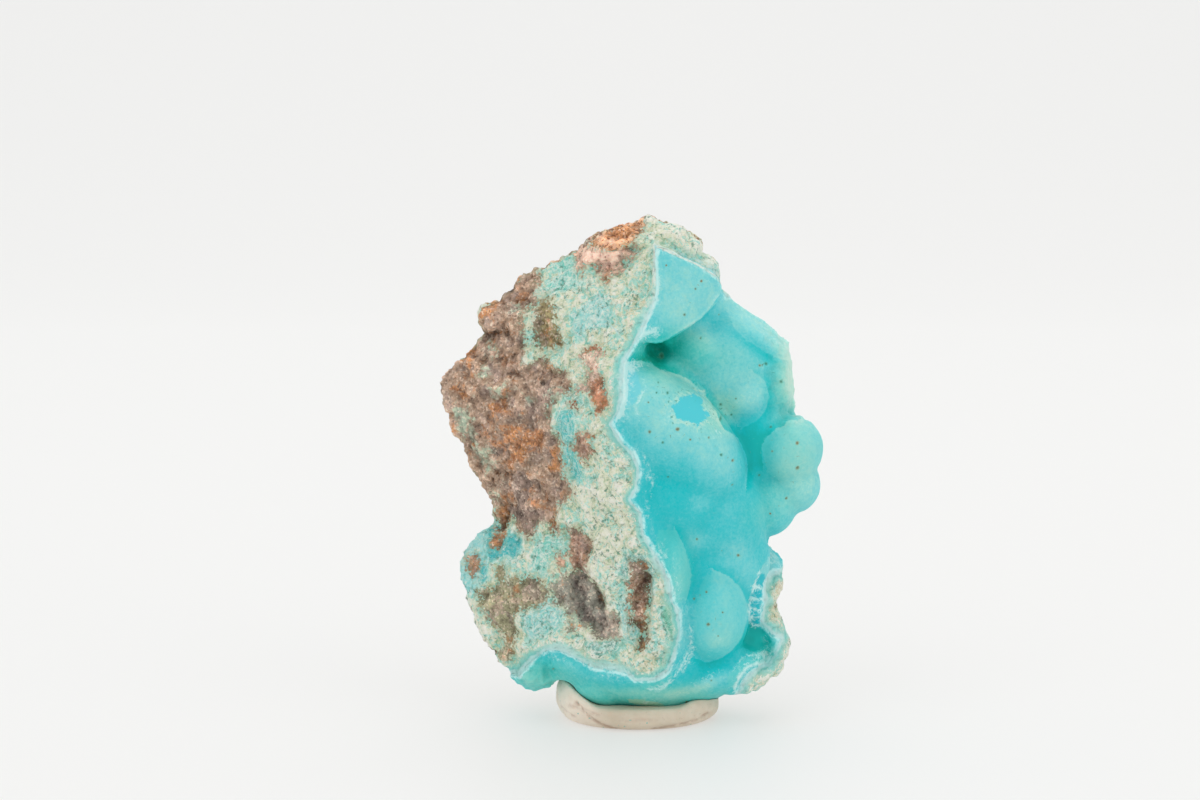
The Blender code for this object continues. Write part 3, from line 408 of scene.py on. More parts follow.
# Soft places of the surface: (x, z, half width, half height, tilt in degrees, strength). "pale" and "green"
# are tones of the crust, and some of them are painted light: painted shade under the block's overhang and in
# the recess behind the curled wall, and a little painted light on the underside. "frost" is white crumbs on
# the crust, "white_band" is the band beside the rim, and the rest are tones of the rock.
GLOWS = {
    "pale": [
        (4.2, 48.6, 10, 5.6, 40, 0.62), (12.4, 41.8, 3.4, 3.8, 0, 0.3), (7.2, 66, 8, 7.5, 0, 0.6),
        (24, 41.6, 4.4, 5.2, 0, 0.5), (25, 35.8, 3.4, 4.4, 0, 0.55), (16.6, 50.2, 2.2, 2.4, 0, 0.3),
        (15.4, 52, 6.6, 6, 0, 0.4), (8.8, 35.3, 1.4, 1.4, 0, 0.42), (8.7, 29.4, 1.6, 1.6, 0, 0.3),
        (15, 27, 2.2, 2, 0, 0.46), (16.6, 24, 1.8, 1.8, 0, 0.3), (13.7, 33.3, 1.6, 2, 0, 0.2),
        (12.8, 18.4, 4, 6, -20, 0.42), (11.7, 14.2, 2.2, 1.6, 10, 0.6), (12.4, 23, 2.4, 1.6, 20, 0.3),
        (6.1, 24, 2.2, 5, 6, 0.42), (9, 57.2, 5, 3.8, 20, 0.26), (19.4, 60, 7.5, 2, 38, 0.7),
        (20.2, 33.1, 2.2, 1.8, 0, 0.2), (5, 36.6, 5.5, 4.6, 0, -0.36), (17.4, 44, 2.4, 2.8, 20, -1),
        (18.2, 40.4, 2, 3, 0, -0.6), (9.6, 23.6, 1.6, 3.6, -8, -0.4), (9.4, 11.4, 6, 2, -14, -0.2),
        # (17.4, 13.2) below is painted shade in the recess behind the curled wall.
        (11.5, 9.4, 4.6, 1.2, -10, -0.45), (17.4, 13.2, 2.2, 2.2, 0, -0.6),
        (11.2, 7.4, 3.6, 0.8, -28, 0.55), (6, 5.4, 3.2, 1, -20, 0.45), (0, 5.8, 7, 1, 0, 0.45),
        # (2, 2.4) below is painted light on the underside; (2.6, 56.8), (6.4, 57.8) and (11, 61.6) are
        # painted shade under the block's overhang.
        (2, 2.4, 10, 1.3, 0, 0.2), (-6, 5.2, 6, 2.2, -14, -0.1), (2.6, 56.8, 2.8, 2, 24, -0.8),
        (6.4, 57.8, 5.4, 1.8, 30, -0.7), (11, 61.6, 2.6, 1.2, 38, -0.3), (-16.6, 6.6, 4, 2, 0, 0.3),
        (6.6, 15, 1.4, 4, 0, 0.36), (24.4, 52, 2.2, 6, -8, 1.4), (19.6, 49.6, 0.8, 3.4, 0, -0.3),
        (18.6, 56.6, 3, 0.9, 38, -0.4), (12.8, 48.6, 2.4, 1.8, 30, 0.35),
    ],
    "green": [
        (12, 56, 9, 6, 20, 0.35), (22.8, 52, 3.2, 7, 0, 0.75), (23.6, 40, 5, 6.5, 0, 0.6),
        # (2.6, 56.8) and (17.4, 13.4) below, and (7.5, 58.6), are a greener painted shade under the block's
        # overhang and in the recess behind the curled wall.
        (2.6, 56.8, 4.6, 2.6, 24, 1.1), (2, 4.2, 12, 3, 0, 1.4), (17.4, 13.4, 3, 2.6, 0, 0.6),
        (-15, 7.6, 6, 3.6, 0, 0.9), (8, 50.4, 9, 3, 40, 0.45), (19, 33, 5, 4, 0, 0.4),
        (12.5, 48, 2.6, 2.4, 0, 0.6), (11.7, 14, 2.4, 2, 0, 0.4), (6.4, 25, 2.4, 6, 0, 0.45),
        (20.4, 9.4, 2.4, 3.6, 0, 0.8), (7.5, 58.6, 5, 2, 30, 0.6),
    ],
    "frost": [
        (-1.6, 53.6, 1.3, 3.6, 0, 0.55), (-0.6, 55.6, 2.6, 0.8, -6, 0.5), (-2.8, 48.6, 1.2, 1.8, 0, 0.6),
        (2.4, 60.6, 2.4, 1.3, 14, 0.46), (0.4, 60, 1.2, 1.6, 0, 0.45), (2.6, 67.6, 0.9, 5, 0, 0.5),
        (11.8, 45.4, 1.2, 0.8, 40, 0.5), (11, 47.4, 1, 0.8, 40, 0.35), (20.6, 24.8, 1.6, 1.6, 0, 0.6),
        (3.2, 7, 2.6, 1, -20, 0.5), (10.4, 8, 2.6, 0.8, -30, 0.45), (1, 34, 0.8, 3.4, 0, 0.36),
        (3.4, 28, 1.2, 3, -30, 0.45), (5.8, 21.6, 1, 4, 0, 0.45), (-0.4, 42.6, 1.6, 2.6, -30, 0.3),
        (7.2, 12.6, 1.6, 3.4, 0, 0.16), (19.6, 10.4, 1.4, 1.4, 0, 0.5), (16.6, 7.8, 2, 1.4, -30, 0.45),
        (2.2, 38.2, 0.9, 3, 0, 0.15), (-4, 8.6, 4, 0.8, 0, 0.4), (-12.4, 10.8, 3, 0.8, 0, 0.4),
        (1.6, 4, 2.6, 0.7, -14, 0.5), (24.4, 54, 0.9, 4, -8, 0.4), (20.6, 60, 6, 0.7, 38, 0.35),
        (10.4, 69.6, 4, 0.8, 32, 0.4),
    ],
    "white_band": [
        (3.6, 25.6, 2, 4.4, 0, 1.2), (2.8, 7.2, 3.4, 1.4, -30, 1), (-2.6, 53, 1.6, 4.4, 0, 0.45),
        (-4.4, 10.2, 5, 1.4, 0, 1), (0.2, 37, 1.2, 3.6, 0, 0.9), (1.4, 32.4, 1.2, 2.6, 0, 0.7),
        (-12, 12.4, 3.4, 1.3, 0, 1.1), (19.4, 22.4, 1.6, 2.2, 0, 1), (20.6, 13, 1.8, 1.6, 0, 0.9),
        (0.8, 64, 1.6, 4, 0, 0.7), (18.6, 18, 1.2, 3, 0, 0.9), (16.6, 7.6, 2.4, 1.6, -30, 0.8),
    ],
    "cream": [
        (-3.4, 34, 4.4, 8.5, 0, 1), (-4.6, 26, 4, 5, 0, 0.9), (-6.6, 66, 5, 4, 0, 0.2),
        (6, 74, 7, 3.6, 20, 1), (-6, 11.6, 8, 2.4, 0, 0.8), (-24.4, 42, 1.6, 6, -20, 0.6),
        (22, 16, 2, 9, 0, 0.9), (-8.4, 54, 3, 3, 0, 0.5),
    ],
    "ochre": [
        (0.4, 64, 2.6, 5, 0, 0.9), (3.6, 14, 1.8, 6.5, 0, 0.7), (21.6, 17, 1.6, 8, 0, 0.8),
        (6, 73.6, 5, 2.4, 20, 0.5), (0.6, 11.4, 4, 1.8, 0, 0.6),
    ],
    "rust": [
        (-23.4, 62.5, 1.6, 1.6, 0, 1), (-18.6, 65.6, 1.8, 2.6, 0, 0.7), (-26, 54, 2.2, 3.6, 0, 0.8),
        (-20.6, 47.6, 2.4, 1.6, 0, 0.9), (-19.4, 42.6, 3, 2.2, 20, 1), (-15.9, 43.7, 1.6, 2.2, 0, 0.8),
        (-12.9, 41.4, 0.9, 1.8, 0, 1.2), (-16.4, 35.6, 1.2, 1.4, 0, 0.6), (-21.2, 28.4, 1.6, 3.2, 0, 0.9),
        (-12.2, 34.6, 1.2, 1.8, 0, 0.8), (-27.4, 57, 1.4, 2, 0, 0.5), (-3, 75.2, 3.6, 1.8, 0, 0.8),
        (-7, 45, 0.8, 1, 0, 0.5), (0.2, 16.4, 1.2, 3.4, 0, 0.5), (-20, 10.4, 0.9, 1.2, 0, 0.6),
    ],
    "rock_green": [
        (-26.6, 45.4, 1.5, 2.6, -10, 1), (-23.8, 40.4, 1.6, 3.2, -30, 0.9), (-21, 50.4, 2, 1.4, 0, 0.9),
        (-16.3, 49.4, 1, 0.8, 0, 0.9), (-18.5, 62.8, 1.6, 1.2, 0, 0.8), (-23.4, 53.2, 1.2, 1.2, 0, 0.9),
        (-22.4, 56.6, 1.2, 1.4, 0, 0.7), (-21.4, 33.4, 1.4, 2.2, 0, 0.6), (-9.8, 16.8, 1.4, 1.4, 0, 1),
        (-12.6, 51, 1.2, 2, 0, 0.7), (-14.6, 30.6, 1.4, 1.2, 0, 0.8),
    ],
    "grey": [
        (-13.4, 50.4, 2, 2.4, 0, 0.9), (-18.4, 32.4, 2.4, 2.6, 0, 0.8), (-15.2, 31.8, 1.2, 2, 0, 0.7),
        (-18.9, 37, 2.2, 1.8, 0, 0.7), (-16.4, 58, 1.6, 3, 0, 0.7), (-15.2, 46.6, 2, 2.4, 0, 0.6),
        (-0.4, 24.6, 1.2, 1.6, 0, 0.8), (-4.6, 15.6, 2, 1.6, 0, 0.6), (-8, 43.2, 0.8, 1.2, 0, 0.6),
    ],
}

# How the rock's guessed tones vary on the back: (strength, size, shift of the noise)
BACK_TONES = {"rust": (0.9, 3, 83), "rock_green": (0.8, 3.4, 97), "grey": (0.8, 3.8, 91)}

# Pits in the crust: (x, z, radius, greenness from 0 rusty to 1 green)
CRUST_PITS = [
    (1.5, 46.2, 0.34, 0.3), (5.7, 46.6, 0.36, 0.1), (7.6, 45.1, 0.24, 0.2), (3.5, 44.7, 0.26, 0.9),
    (2.9, 53.3, 0.26, 1), (2.6, 51.9, 0.18, 1), (4.3, 51.7, 0.32, 1), (1.4, 50.6, 0.22, 0.4),
    (9.4, 67.8, 0.24, 0), (8.5, 66.7, 0.24, 0.5), (6.9, 62.9, 0.3, 0.6), (4.1, 70.3, 0.2, 0.1),
    (14.7, 49.8, 0.2, 0.6), (12.5, 48.8, 0.34, 0.9), (12.4, 47.3, 0.34, 0.9), (14.1, 47.2, 0.22, 1),
    (9.4, 59, 0.26, 0.8), (19.3, 54.9, 0.34, 1), (18.4, 54.7, 0.28, 0.2), (21.7, 52.1, 0.34, 0.9),
    (20.1, 45.4, 0.24, 0.9), (10.4, 45.2, 0.26, 0.3), (14.1, 41.4, 0.3, 0.2), (12.3, 42.5, 0.3, 1),
    (24, 43.2, 0.36, 0), (24.1, 39.2, 0.42, 0.2), (20.2, 41.9, 0.26, 0.3), (12.3, 62.1, 0.18, 0.5),
    (18.4, 38, 0.26, 1), (8.7, 29.5, 0.26, 0.5), (15, 26.7, 0.34, 0.2), (10.1, 21.6, 0.26, 0.4),
    (8.3, 20.5, 0.26, 0.6), (12.6, 18.7, 0.2, 0.4), (10.4, 16.9, 0.36, 0.3), (11.9, 15.1, 0.18, 0.5),
    (11, 7.7, 0.22, 0.7), (12.5, 27.6, 0.14, 0.8), (14.1, 37.6, 0.28, 0.7), (22.5, 34.5, 0.28, 0.3),
    (20, 32.4, 0.22, 0.1), (4.3, 39.3, 0.24, 1), (7.4, 3.6, 0.3, 0.4), (-13, 8.6, 0.22, 0.5),
    (3.5, 56.1, 0.5, 0.8),
]

# Relief of the broken rock and of the crust
LUMP_SIZE = 6.5
LUMP_DEPTH = 0.9
LEDGE_SIZE = 3.4
LEDGE_DEPTH = 0.55
BACK_LUMP_SIZE = 12.0
BACK_LUMP_DEPTH = 2.0
CRUMB_SIZE = 1.8
CRUMB_DEPTH = 0.50
GRAIN_SIZE = 1.1
GRAIN_DEPTH = 0.55
CRUST_WAVE_SIZE = 3.2
CRUST_WAVE_DEPTH = 0.12
RAGGED_SIZE = 1.5
RAGGED_DEPTH = 0.35
PIT_DEPTH = 0.16

# Distances that stand for far away, and for marks that are kept off the back
FAR = 9.0
HIDDEN_BY = 10

# Tones of the crust from its valleys to its dome tops, of the rock, of the band and of the putty
CRUST_BLUE = {
    0: (0, 184, 182), 0.22: (6, 194, 200), 0.42: (64, 198, 204), 0.62: (110, 208, 212),
    0.82: (146, 218, 216), 1: (190, 232, 228),
}
CRUST_GREEN = {
    0: (0, 154, 132), 0.22: (16, 184, 172), 0.42: (76, 196, 188), 0.62: (116, 206, 196),
    0.82: (154, 216, 202), 1: (192, 228, 212),
}
CREAM_TONES = {
    0.22: (148, 188, 156), 0.36: (192, 212, 178), 0.48: (224, 230, 200), 0.62: (238, 240, 216),
    0.8: (250, 250, 238),
}
WATER_TONES = {0.4: (96, 204, 192), 0.55: (136, 220, 208), 0.7: (178, 232, 220), 0.86: (220, 242, 232)}
AQUA_BAND = {
    0: (152, 226, 226), 0.2: (192, 236, 232), 0.4: (128, 216, 208), 0.7: (164, 226, 212), 1: (186, 224, 200),
}
WHITE_BAND = {0: (170, 230, 230), 0.16: (204, 242, 238), 0.66: (184, 234, 224), 1: (204, 230, 208)}
PUTTY_TONES = {0.3: (204, 188, 166), 0.5: (216, 201, 181), 0.7: (228, 214, 196)}

# Finish of the surfaces: how dull they are, how much light enters them and how far, and the bumps' depth
ROCK_ROUGHNESS = 0.84
CRUST_ROUGHNESS = 0.50
ROCK_SCATTER = 0.05
CRUST_SCATTER = 0.50
SCATTER_REACH = 1.4 * MM
ROCK_BUMP = 0.3 * MM
CRUST_BUMP = 0.03 * MM
PUTTY_BUMP = 0.12 * MM

# The putty, as rolled and pressed flat
PUTTY_RADIUS_X = 12.5
PUTTY_RADIUS_Y = 10.8
PUTTY_HEIGHT = 3.2
PUTTY_LEFT_RISE = 3.6
PUTTY_RIGHT_RISE = 2.3
PUTTY_FOOT_INSET = 0.17
PUTTY_TOP_INSET = 0.10
PUTTY_WAIST = 0.42
PUTTY_SIDE_SHARE = 0.5
PUTTY_GAP = 0.12
FOLD_SIZE = 2.6
FOLD_STRETCH = 0.35
FOLD_DEPTH = 0.22

# Creases pressed into the putty's front and back: (strength, points as (x, z))
FRONT_CREASES = {
    "long": (1, [(-9.4, 3.6), (-8, 2.3), (-6.9, 1.5), (-5.2, 0.7), (-3.2, 0.2)]),
    "upper": (0.5, [(-10.6, 3), (-8.8, 2.9), (-7.6, 2.6), (-6.2, 2.3)]),
    "left": (0.6, [(-11.6, 2), (-10.8, 1.6), (-9.8, 1.4)]),
    "right": (0.8, [(2.2, 0.3), (5.6, 0.7), (8.6, 1), (10.8, 1.7)]),
    "middle": (0.3, [(-2.6, 1.7), (0.4, 1.9), (2.6, 1.7)]),
}
BACK_CREASES = {
    "long": (0.9, [(-7.6, 0.8), (-3.4, 1.6), (0.8, 1.9), (4.6, 3)]),
    "short": (0.6, [(5.4, 1.2), (8, 2), (10.2, 3)]),
    "left": (0.5, [(-10.8, 2.6), (-9, 2.2), (-7.4, 2.4)]),
}
CREASE_DEPTH = 0.26
CREASE_WIDTH = 0.26

# The photograph's camera
CAMERA_TARGET = Vector((-5.8, 0.0, 49.1)) * MM
CAMERA_DISTANCE = 0.507
CAMERA_ELEVATION = math.radians(8)
CAMERA_LENS = 100
SENSOR_WIDTH = 36
CAMERA_NEAR = 0.01

# The sweep of paper that it stands on, and the lamps: (place, width and height, power)
STAGE_HALF_WIDTH = 1.6
STAGE_FRONT = -1.2
STAGE_BACK = 0.9
STAGE_HEIGHT = 1.6
SWEEP_RADIUS = 0.4
SWEEP_STEPS = 16
WORLD_STRENGTH = 0.80
LIGHTS = {
    "key": ((-0.45, -0.45, 0.75), (0.6, 0.6), 0.8),
    "fill": ((0.60, -0.35, 0.45), (0.6, 0.6), 0.75),
    "top": ((0.0, 0.35, 0.85), (0.8, 0.8), 1.7),
    "low": ((-0.2, -0.9, 0.10), (1.2, 0.3), 0.6),
}


def rgb(red, green, blue):
    """A screen tone of 0 to 255 as the linear values that shaders use."""
    shares = (c / 255 for c in (red, green, blue))
    return tuple(s / 12.92 if s <= 0.04045 else ((s + 0.055) / 1.055) ** 2.4 for s in shares)


def place_in_scene(name, data):
    made = bpy.data.objects.new(name, data)
    bpy.context.scene.collection.objects.link(made)
    return made


def new_object(name, bm):
    mesh = bpy.data.meshes.new(name)
    bm.to_mesh(mesh)
    bm.free()
    return place_in_scene(name, mesh)


def closed_object(name, bm):
    """An object of triangles that all face outwards."""
    bmesh.ops.triangulate(bm, faces=bm.faces[:])
    bmesh.ops.recalc_face_normals(bm, faces=bm.faces[:])
    return new_object(name, bm)


def evaluated_mesh(obj):
    bpy.context.view_layer.update()
    graph = bpy.context.evaluated_depsgraph_get()
    return bpy.data.meshes.new_from_object(obj.evaluated_get(graph))


def smoothstep(low, high, value):
    share = np.clip((value - low) / (high - low), 0.0, 1.0)
    return share * share * (3 - 2 * share)


def rib_point(rib, height):
    """(x, y) of a rib at this height, straight between its points."""
    for (z0, x0, y0), (z1, x1, y1) in zip(rib, rib[1:]):
        if height <= z1:
            share = (height - z0) / (z1 - z0)
            return x0 + share * (x1 - x0), y0 + share * (y1 - y0)
    return rib[-1][1:]


def rock_body():
    """The matrix: rings of points on the ribs, joined into a closed skin."""
    bm = bmesh.new()
    low, high = RIBS["rim"][0][0], RIBS["rim"][-1][0]
    count = round((high - low) / BODY_STEP) + 1
    rings = []
    for i in range(count):
        height = low + (high - low) * i / (count - 1)
        points = [rib_point(rib, height) for rib in RIBS.values()]
        rings.append([bm.verts.new((x * MM, y * MM, height * MM)) for x, y in points])
    sides = len(RIBS)
    for lower, upper in zip(rings, rings[1:]):
        for i in range(sides):
            j = (i + 1) % sides
            bm.faces.new((lower[i], lower[j], upper[j], upper[i]))
    bm.faces.new(rings[0])
    bm.faces.new(rings[-1])
    return closed_object("rock_body", bm)


def ellipsoid(name, centre, radii, tilt=0, subdivisions=DOME_DIVISIONS):
    bm = bmesh.new()
    bmesh.ops.create_icosphere(bm, subdivisions=subdivisions, radius=1)
    scale = Matrix.Diagonal((*(r * MM for r in radii), 1))
    turn = Matrix.Rotation(math.radians(tilt), 4, "Y")
    place = Matrix.Translation(Vector(centre) * MM)
    bmesh.ops.transform(bm, matrix=place @ turn @ scale, verts=bm.verts[:])
    return new_object(name, bm)


def hull(name, corners):
    bm = bmesh.new()
    points = [bm.verts.new(Vector(corner) * MM) for corner in corners]
    bmesh.ops.convex_hull(bm, input=points)
    bmesh.ops.recalc_face_normals(bm, faces=bm.faces[:])
    return new_object(name, bm)


def crust_prism():
    """The crust's outline drawn out from front to back, which trims the domes along the fracture."""
    bm = bmesh.new()
    front = [bm.verts.new((x * MM, -OUTLINE_DEPTH * MM, z * MM)) for x, z in CRUST_OUTLINE]
    face = bm.faces.new(front)
    swept = bmesh.ops.extrude_face_region(bm, geom=[face])
    moved = [v for v in swept["geom"] if isinstance(v, bmesh.types.BMVert)]
    bmesh.ops.translate(bm, verts=moved, vec=(0, 2 * OUTLINE_DEPTH * MM, 0))
    return closed_object("crust_prism", bm)


def boolean(obj, other, operation):
    cut = obj.modifiers.new(other.name, "BOOLEAN")
    cut.operation = operation
    cut.object = other
    cut.solver = "EXACT"


def lip_pieces():
    """Flat ellipsoids at even steps along the curled wall's front edge."""
    centres = []
    for start, end in zip(LIP_PATH, LIP_PATH[1:]):
        a, b = Vector(start), Vector(end)
        steps = max(1, round((b - a).length / LIP_STEP))
        centres += [a.lerp(b, i / steps) for i in range(steps)]
    depth = Vector((0, LIP_RADII[1], 0))
    return [
        ellipsoid(f"lip_{i}", centre + depth, LIP_RADII, subdivisions=SMALL_DIVISIONS)
        for i, centre in enumerate(centres)
    ]


def specimen_form():
    """One closed mesh round the rock, its crust, the block and the curled wall."""
    prism = crust_prism()
    hollows = [ellipsoid(name, *shape, subdivisions=SMALL_DIVISIONS) for name, shape in HOLLOWS.items()]
    domes = [ellipsoid(name, *shape) for name, shape in DOMES.items()]
    for dome in domes:
        boolean(dome, prism, "INTERSECT")
    lumps = [ellipsoid(name, *shape) for name, shape in ROCK_LUMPS.items()]
    pieces = [*domes, *lumps, *lip_pieces(), hull("top_block", TOP_BLOCK), rock_body()]
    bm = bmesh.new()
    for piece in pieces:
        for hollow in hollows:
            boolean(piece, hollow, "DIFFERENCE")
        mesh = evaluated_mesh(piece)
        bm.from_mesh(mesh)
        bpy.data.meshes.remove(mesh)
    for used in [*pieces, *hollows, prism]:
        bpy.data.objects.remove(used)
    made = new_object("hemimorphite_specimen", bm)
    remesh = made.modifiers.new("Remesh", "REMESH")
    remesh.mode = "VOXEL"
    remesh.voxel_size = VOXEL * MM
    smooth = made.modifiers.new("Smooth", "SMOOTH")
    smooth.iterations = SMOOTHING_PASSES
    made.data = evaluated_mesh(made)
    made.modifiers.clear()
    return made


def read_rows(items, name, width, kind=float):
    """One row of numbers for each of a mesh's items."""
    flat = np.empty(len(items) * width, kind)
    items.foreach_get(name, flat)
    return flat.reshape(-1, width)


def coordinates(mesh):
    """The mesh's points in millimetres, one row each."""
    return read_rows(mesh.vertices, "co", 3) / MM


def set_coordinates(mesh, points):
    mesh.vertices.foreach_set("co", (points * MM).ravel())
    mesh.update()


def normals_of(mesh):
    mesh.update()
    return read_rows(mesh.vertices, "normal", 3)


def edges_of(mesh):
    return read_rows(mesh.edges, "vertices", 2, np.int64)


def noise_at(points, size, shift=0.0):
    """Smooth noise of about -1 to 1 whose features are this size in millimetres."""
    return np.array([noise.noise(Vector(p)) for p in points / size + shift])


def fractal_at(points, size, octaves, shift=0.0):
    return np.array([noise.fractal(Vector(p), 0.9, 2.1, octaves) for p in points / size + shift])


def cell_edges_at(points, size, limit):
    """Distance between the two nearest cell centres up to a limit, about 0: least on the cells' borders."""
    distances = (noise.voronoi(Vector(p))[0] for p in points / size)
    return np.minimum(np.array([d[1] - d[0] for d in distances]), limit) - limit / 2


def from_stretch(xz, start, end):
    """Each point's distance from a straight stretch, and which side of it the point lies on."""
    dx, dz = end[0] - start[0], end[1] - start[1]
    x, z = xz[:, 0] - start[0], xz[:, 1] - start[1]
    share = np.clip((x * dx + z * dz) / (dx * dx + dz * dz), 0, 1)
    return np.hypot(x - share * dx, z - share * dz), np.sign(x * dz - z * dx)


def signed_distance(xz, outline):
    """Distance of each (x, z) from a closed outline, positive inside."""
    inside = np.zeros(len(xz), bool)
    nearest = np.full(len(xz), np.inf)
    x, z = xz[:, 0], xz[:, 1]
    for (ax, az), (bx, bz) in zip(outline, outline[1:] + outline[:1]):
        if az != bz:
            inside ^= ((az > z) != (bz > z)) & (x < ax + (z - az) * (bx - ax) / (bz - az))
        nearest = np.minimum(nearest, from_stretch(xz, (ax, az), (bx, bz))[0])
    return np.where(inside, nearest, -nearest)


def dome_distance(points):
    """Rough distance in millimetres from the nearest dome's surface."""
    nearest = np.full(len(points), np.inf)
    for centre, radii, tilt in DOMES.values():
        turn = np.array(Matrix.Rotation(-math.radians(tilt), 3, "Y"))
        local = (points - np.array(centre)) @ turn.T
        share = np.sqrt(((local / np.array(radii)) ** 2).sum(1))
        nearest = np.minimum(nearest, np.abs(share - 1) * min(radii))
    return nearest


def in_ellipse(xz, cx, cz, rx, rz, tilt):
    """How far across and along a tilted ellipse each point lies, in its half sizes."""
    turn = math.radians(tilt)
    dx, dz = xz[:, 0] - cx, xz[:, 1] - cz
    across = (dx * math.cos(turn) - dz * math.sin(turn)) / rx
    return across, (dx * math.sin(turn) + dz * math.cos(turn)) / rz


def pocket_depth(xz):
    deepest = np.zeros(len(xz))
    for centre, half_sizes, tilt, depth in POCKETS.values():
        away = np.hypot(*in_ellipse(xz, *centre, *half_sizes, tilt))
        deepest = np.maximum(deepest, depth * (1 - smoothstep(0.6, 1.1, away)))
    return deepest


def glow(xz, places):
    """Sum of soft elliptical places."""
    total = np.zeros(len(xz))
    for *ellipse, strength in places:
        across, along = in_ellipse(xz, *ellipse)
        total += strength * np.exp(-(across ** 2 + along ** 2))
    return total


def patches(xz, table):
    """The signed distance from the nearest patch, that patch's colour and how far it covers."""
    best = np.full(len(xz), -np.inf)
    colour = np.zeros((len(xz), 3))
    cover = np.zeros(len(xz))
    for name, (tone, outline) in table.items():
        distance = signed_distance(xz, outline)
        nearer = distance > best
        best[nearer] = distance[nearer]
        colour[nearer] = rgb(*tone)
        cover[nearer] = PATCH_COVER.get(name, PLAIN_COVER)
    return best, colour, cover


def line_field(xz, lines, reach=LINE_REACH):
    """The signed distance from the nearest line, and that line's strength within this reach."""
    best = np.full(len(xz), np.inf)
    signed = np.full(len(xz), FAR)
    share = np.zeros(len(xz))
    for strength, points in lines.values():
        for start, end in zip(points, points[1:]):
            away, side = from_stretch(xz, start, end)
            nearer = away < best
            best[nearer] = away[nearer]
            signed[nearer] = (away * side)[nearer]
            share[nearer] = strength
    return np.clip(signed, -2, 2), share * smoothstep(reach, 0.6 * reach, best)


def pit_field(xz):
    """Where each point lies from its nearest pit, in that pit's radii, and the pit's greenness."""
    best = np.full(len(xz), np.inf)
    offset = np.full((len(xz), 3), FAR)
    for x, z, radius, green in CRUST_PITS:
        away = xz - np.array([x, z])
        distance = np.hypot(away[:, 0], away[:, 1])
        nearer = distance < best
        best[nearer] = distance[nearer]
        offset[nearer, :2] = away[nearer] / (0.9 * radius)
        offset[nearer, 2] = green
    return offset


def smoothed(points, edges, passes):
    """The points after so many passes towards the mean of their neighbours."""
    count = np.bincount(edges.ravel(), minlength=len(points))
    current = points.copy()
    for _ in range(passes):
        total = np.zeros_like(current)
        for axis in range(3):
            for here, there in (edges.T, edges.T[::-1]):
                total[:, axis] += np.bincount(here, current[there, axis], len(points))
        current = 0.5 * current + 0.5 * total / count[:, None]
    return current


def crust_field(points):
    """Signed distance from the crust's edge in millimetres, positive on the crust."""
    xz = points[:, [0, 2]]
    front = signed_distance(xz, CRUST_OUTLINE)
    edge = 3.0 * noise_at(points, 9.0, 3.0) + 1.2 * fractal_at(points, 3.0, 3, 13.0)
    back = BACK_LIMIT + edge - points[:, 1]
    lip = -signed_distance(xz, LIP_CREAM)
    return np.minimum(np.minimum(front, back), lip)


def fill_valleys(mesh):
    """Rounds the valleys between the crust's domes, outwards only, and leaves the domes as they are."""
    edges = edges_of(mesh)
    points = coordinates(mesh)
    crust = smoothstep(0.2, 1.4, crust_field(points))
    for _ in range(VALLEY_ROUNDS):
        normals = normals_of(mesh)
        pull = smoothed(points, edges, VALLEY_PASSES) - points
        outwards = (pull * normals).sum(1)
        sideways = pull - normals * outwards[:, None]
        move = 0.5 * sideways + normals * np.maximum(outwards, 0)[:, None]
        points = points + crust[:, None] * move
        set_coordinates(mesh, points)
    return points


def rock_tones(points, warped, front):
    """The brown and blue patches of the rock as listed in front, and guessed ones on the back."""
    seen = front > 0.5
    brown, brown_colour, _ = patches(warped, BROWN_PATCHES)
    blue, blue_colour, blue_cover = patches(warped, BLUE_PATCHES)
    back_brown, back_olive, turquoise = (np.array(rgb(*tone)) for tone in (BACK_BROWN, BACK_OLIVE, TURQUOISE))
    browner = smoothstep(-0.3, 0.4, noise_at(points, 8.0, 51.0))[:, None]
    behind = browner * back_brown + (1 - browner) * back_olive
    return {
        "brown_mm": np.where(seen, brown, 2.2 * (fractal_at(points, 9.0, 3, 5.0) + 0.12)),
        "brown_colour": np.where(seen[:, None], brown_colour, behind),
        "blue_mm": np.where(seen, blue, 1.6 * (fractal_at(points, 7.0, 3, 17.0) - 0.42)),
        "blue_colour": np.where(seen[:, None], blue_colour, turquoise),
        "blue_full": np.clip((blue_cover - PLAIN_COVER) / (1 - PLAIN_COVER), 0, 1) * front,
    }


def crust_marks(xz, warped, wobble, fine, front):
    """The chip, the toned patches, the lines and the shell edges of the crust."""
    hidden = HIDDEN_BY * (1 - front)
    patch, patch_colour, patch_cover = patches(xz + 0.15 * wobble, CRUST_PATCHES)
    line, line_share = line_field(xz + 0.12 * fine, LINES)
    edge, edge_share = line_field(xz + 0.12 * fine, SHELL_EDGES, EDGE_REACH)
    return {
        "chip_mm": signed_distance(warped, CHIP) - hidden,
        "patch_mm": patch - hidden,
        "patch_colour": patch_colour,
        "patch_cover": patch_cover,
        "line_mm": line,
        "line_share": line_share * front,
        "edge_mm": edge,
        "edge_share": edge_share * front,
    }


def glow_fields(points, xz, front):
    """The soft places of the surface, with guessed tones on the back."""
    fields = {name: glow(xz, places) for name, places in GLOWS.items()}
    fields["pale"] *= smoothstep(8.0, 4.0, points[:, 1])
    fields["frost"] *= front
    fields["white_band"] += 0.5 * (1 - front)
    for name, (strength, size, shift) in BACK_TONES.items():
        fields[name] += strength * (1 - front) * noise_at(points, size, shift)
    fields["band"] = 1 - 0.75 * smoothstep(63.0, 67.0, points[:, 2])
    return fields


def ragged_share(x, z):
    """How ragged the crust is near its outer edges: at the upper right, the foot and the curled wall."""
    upper_right = smoothstep(17.0, 20.0, x) * smoothstep(43.0, 46.0, z)
    foot = smoothstep(-11.0, -13.5, x) * smoothstep(14.0, 12.0, z)
    lip = smoothstep(16.0, 18.5, x) * smoothstep(26.0, 24.0, z)
    return np.maximum(np.maximum(upper_right, 1.3 * foot), 0.7 * lip)


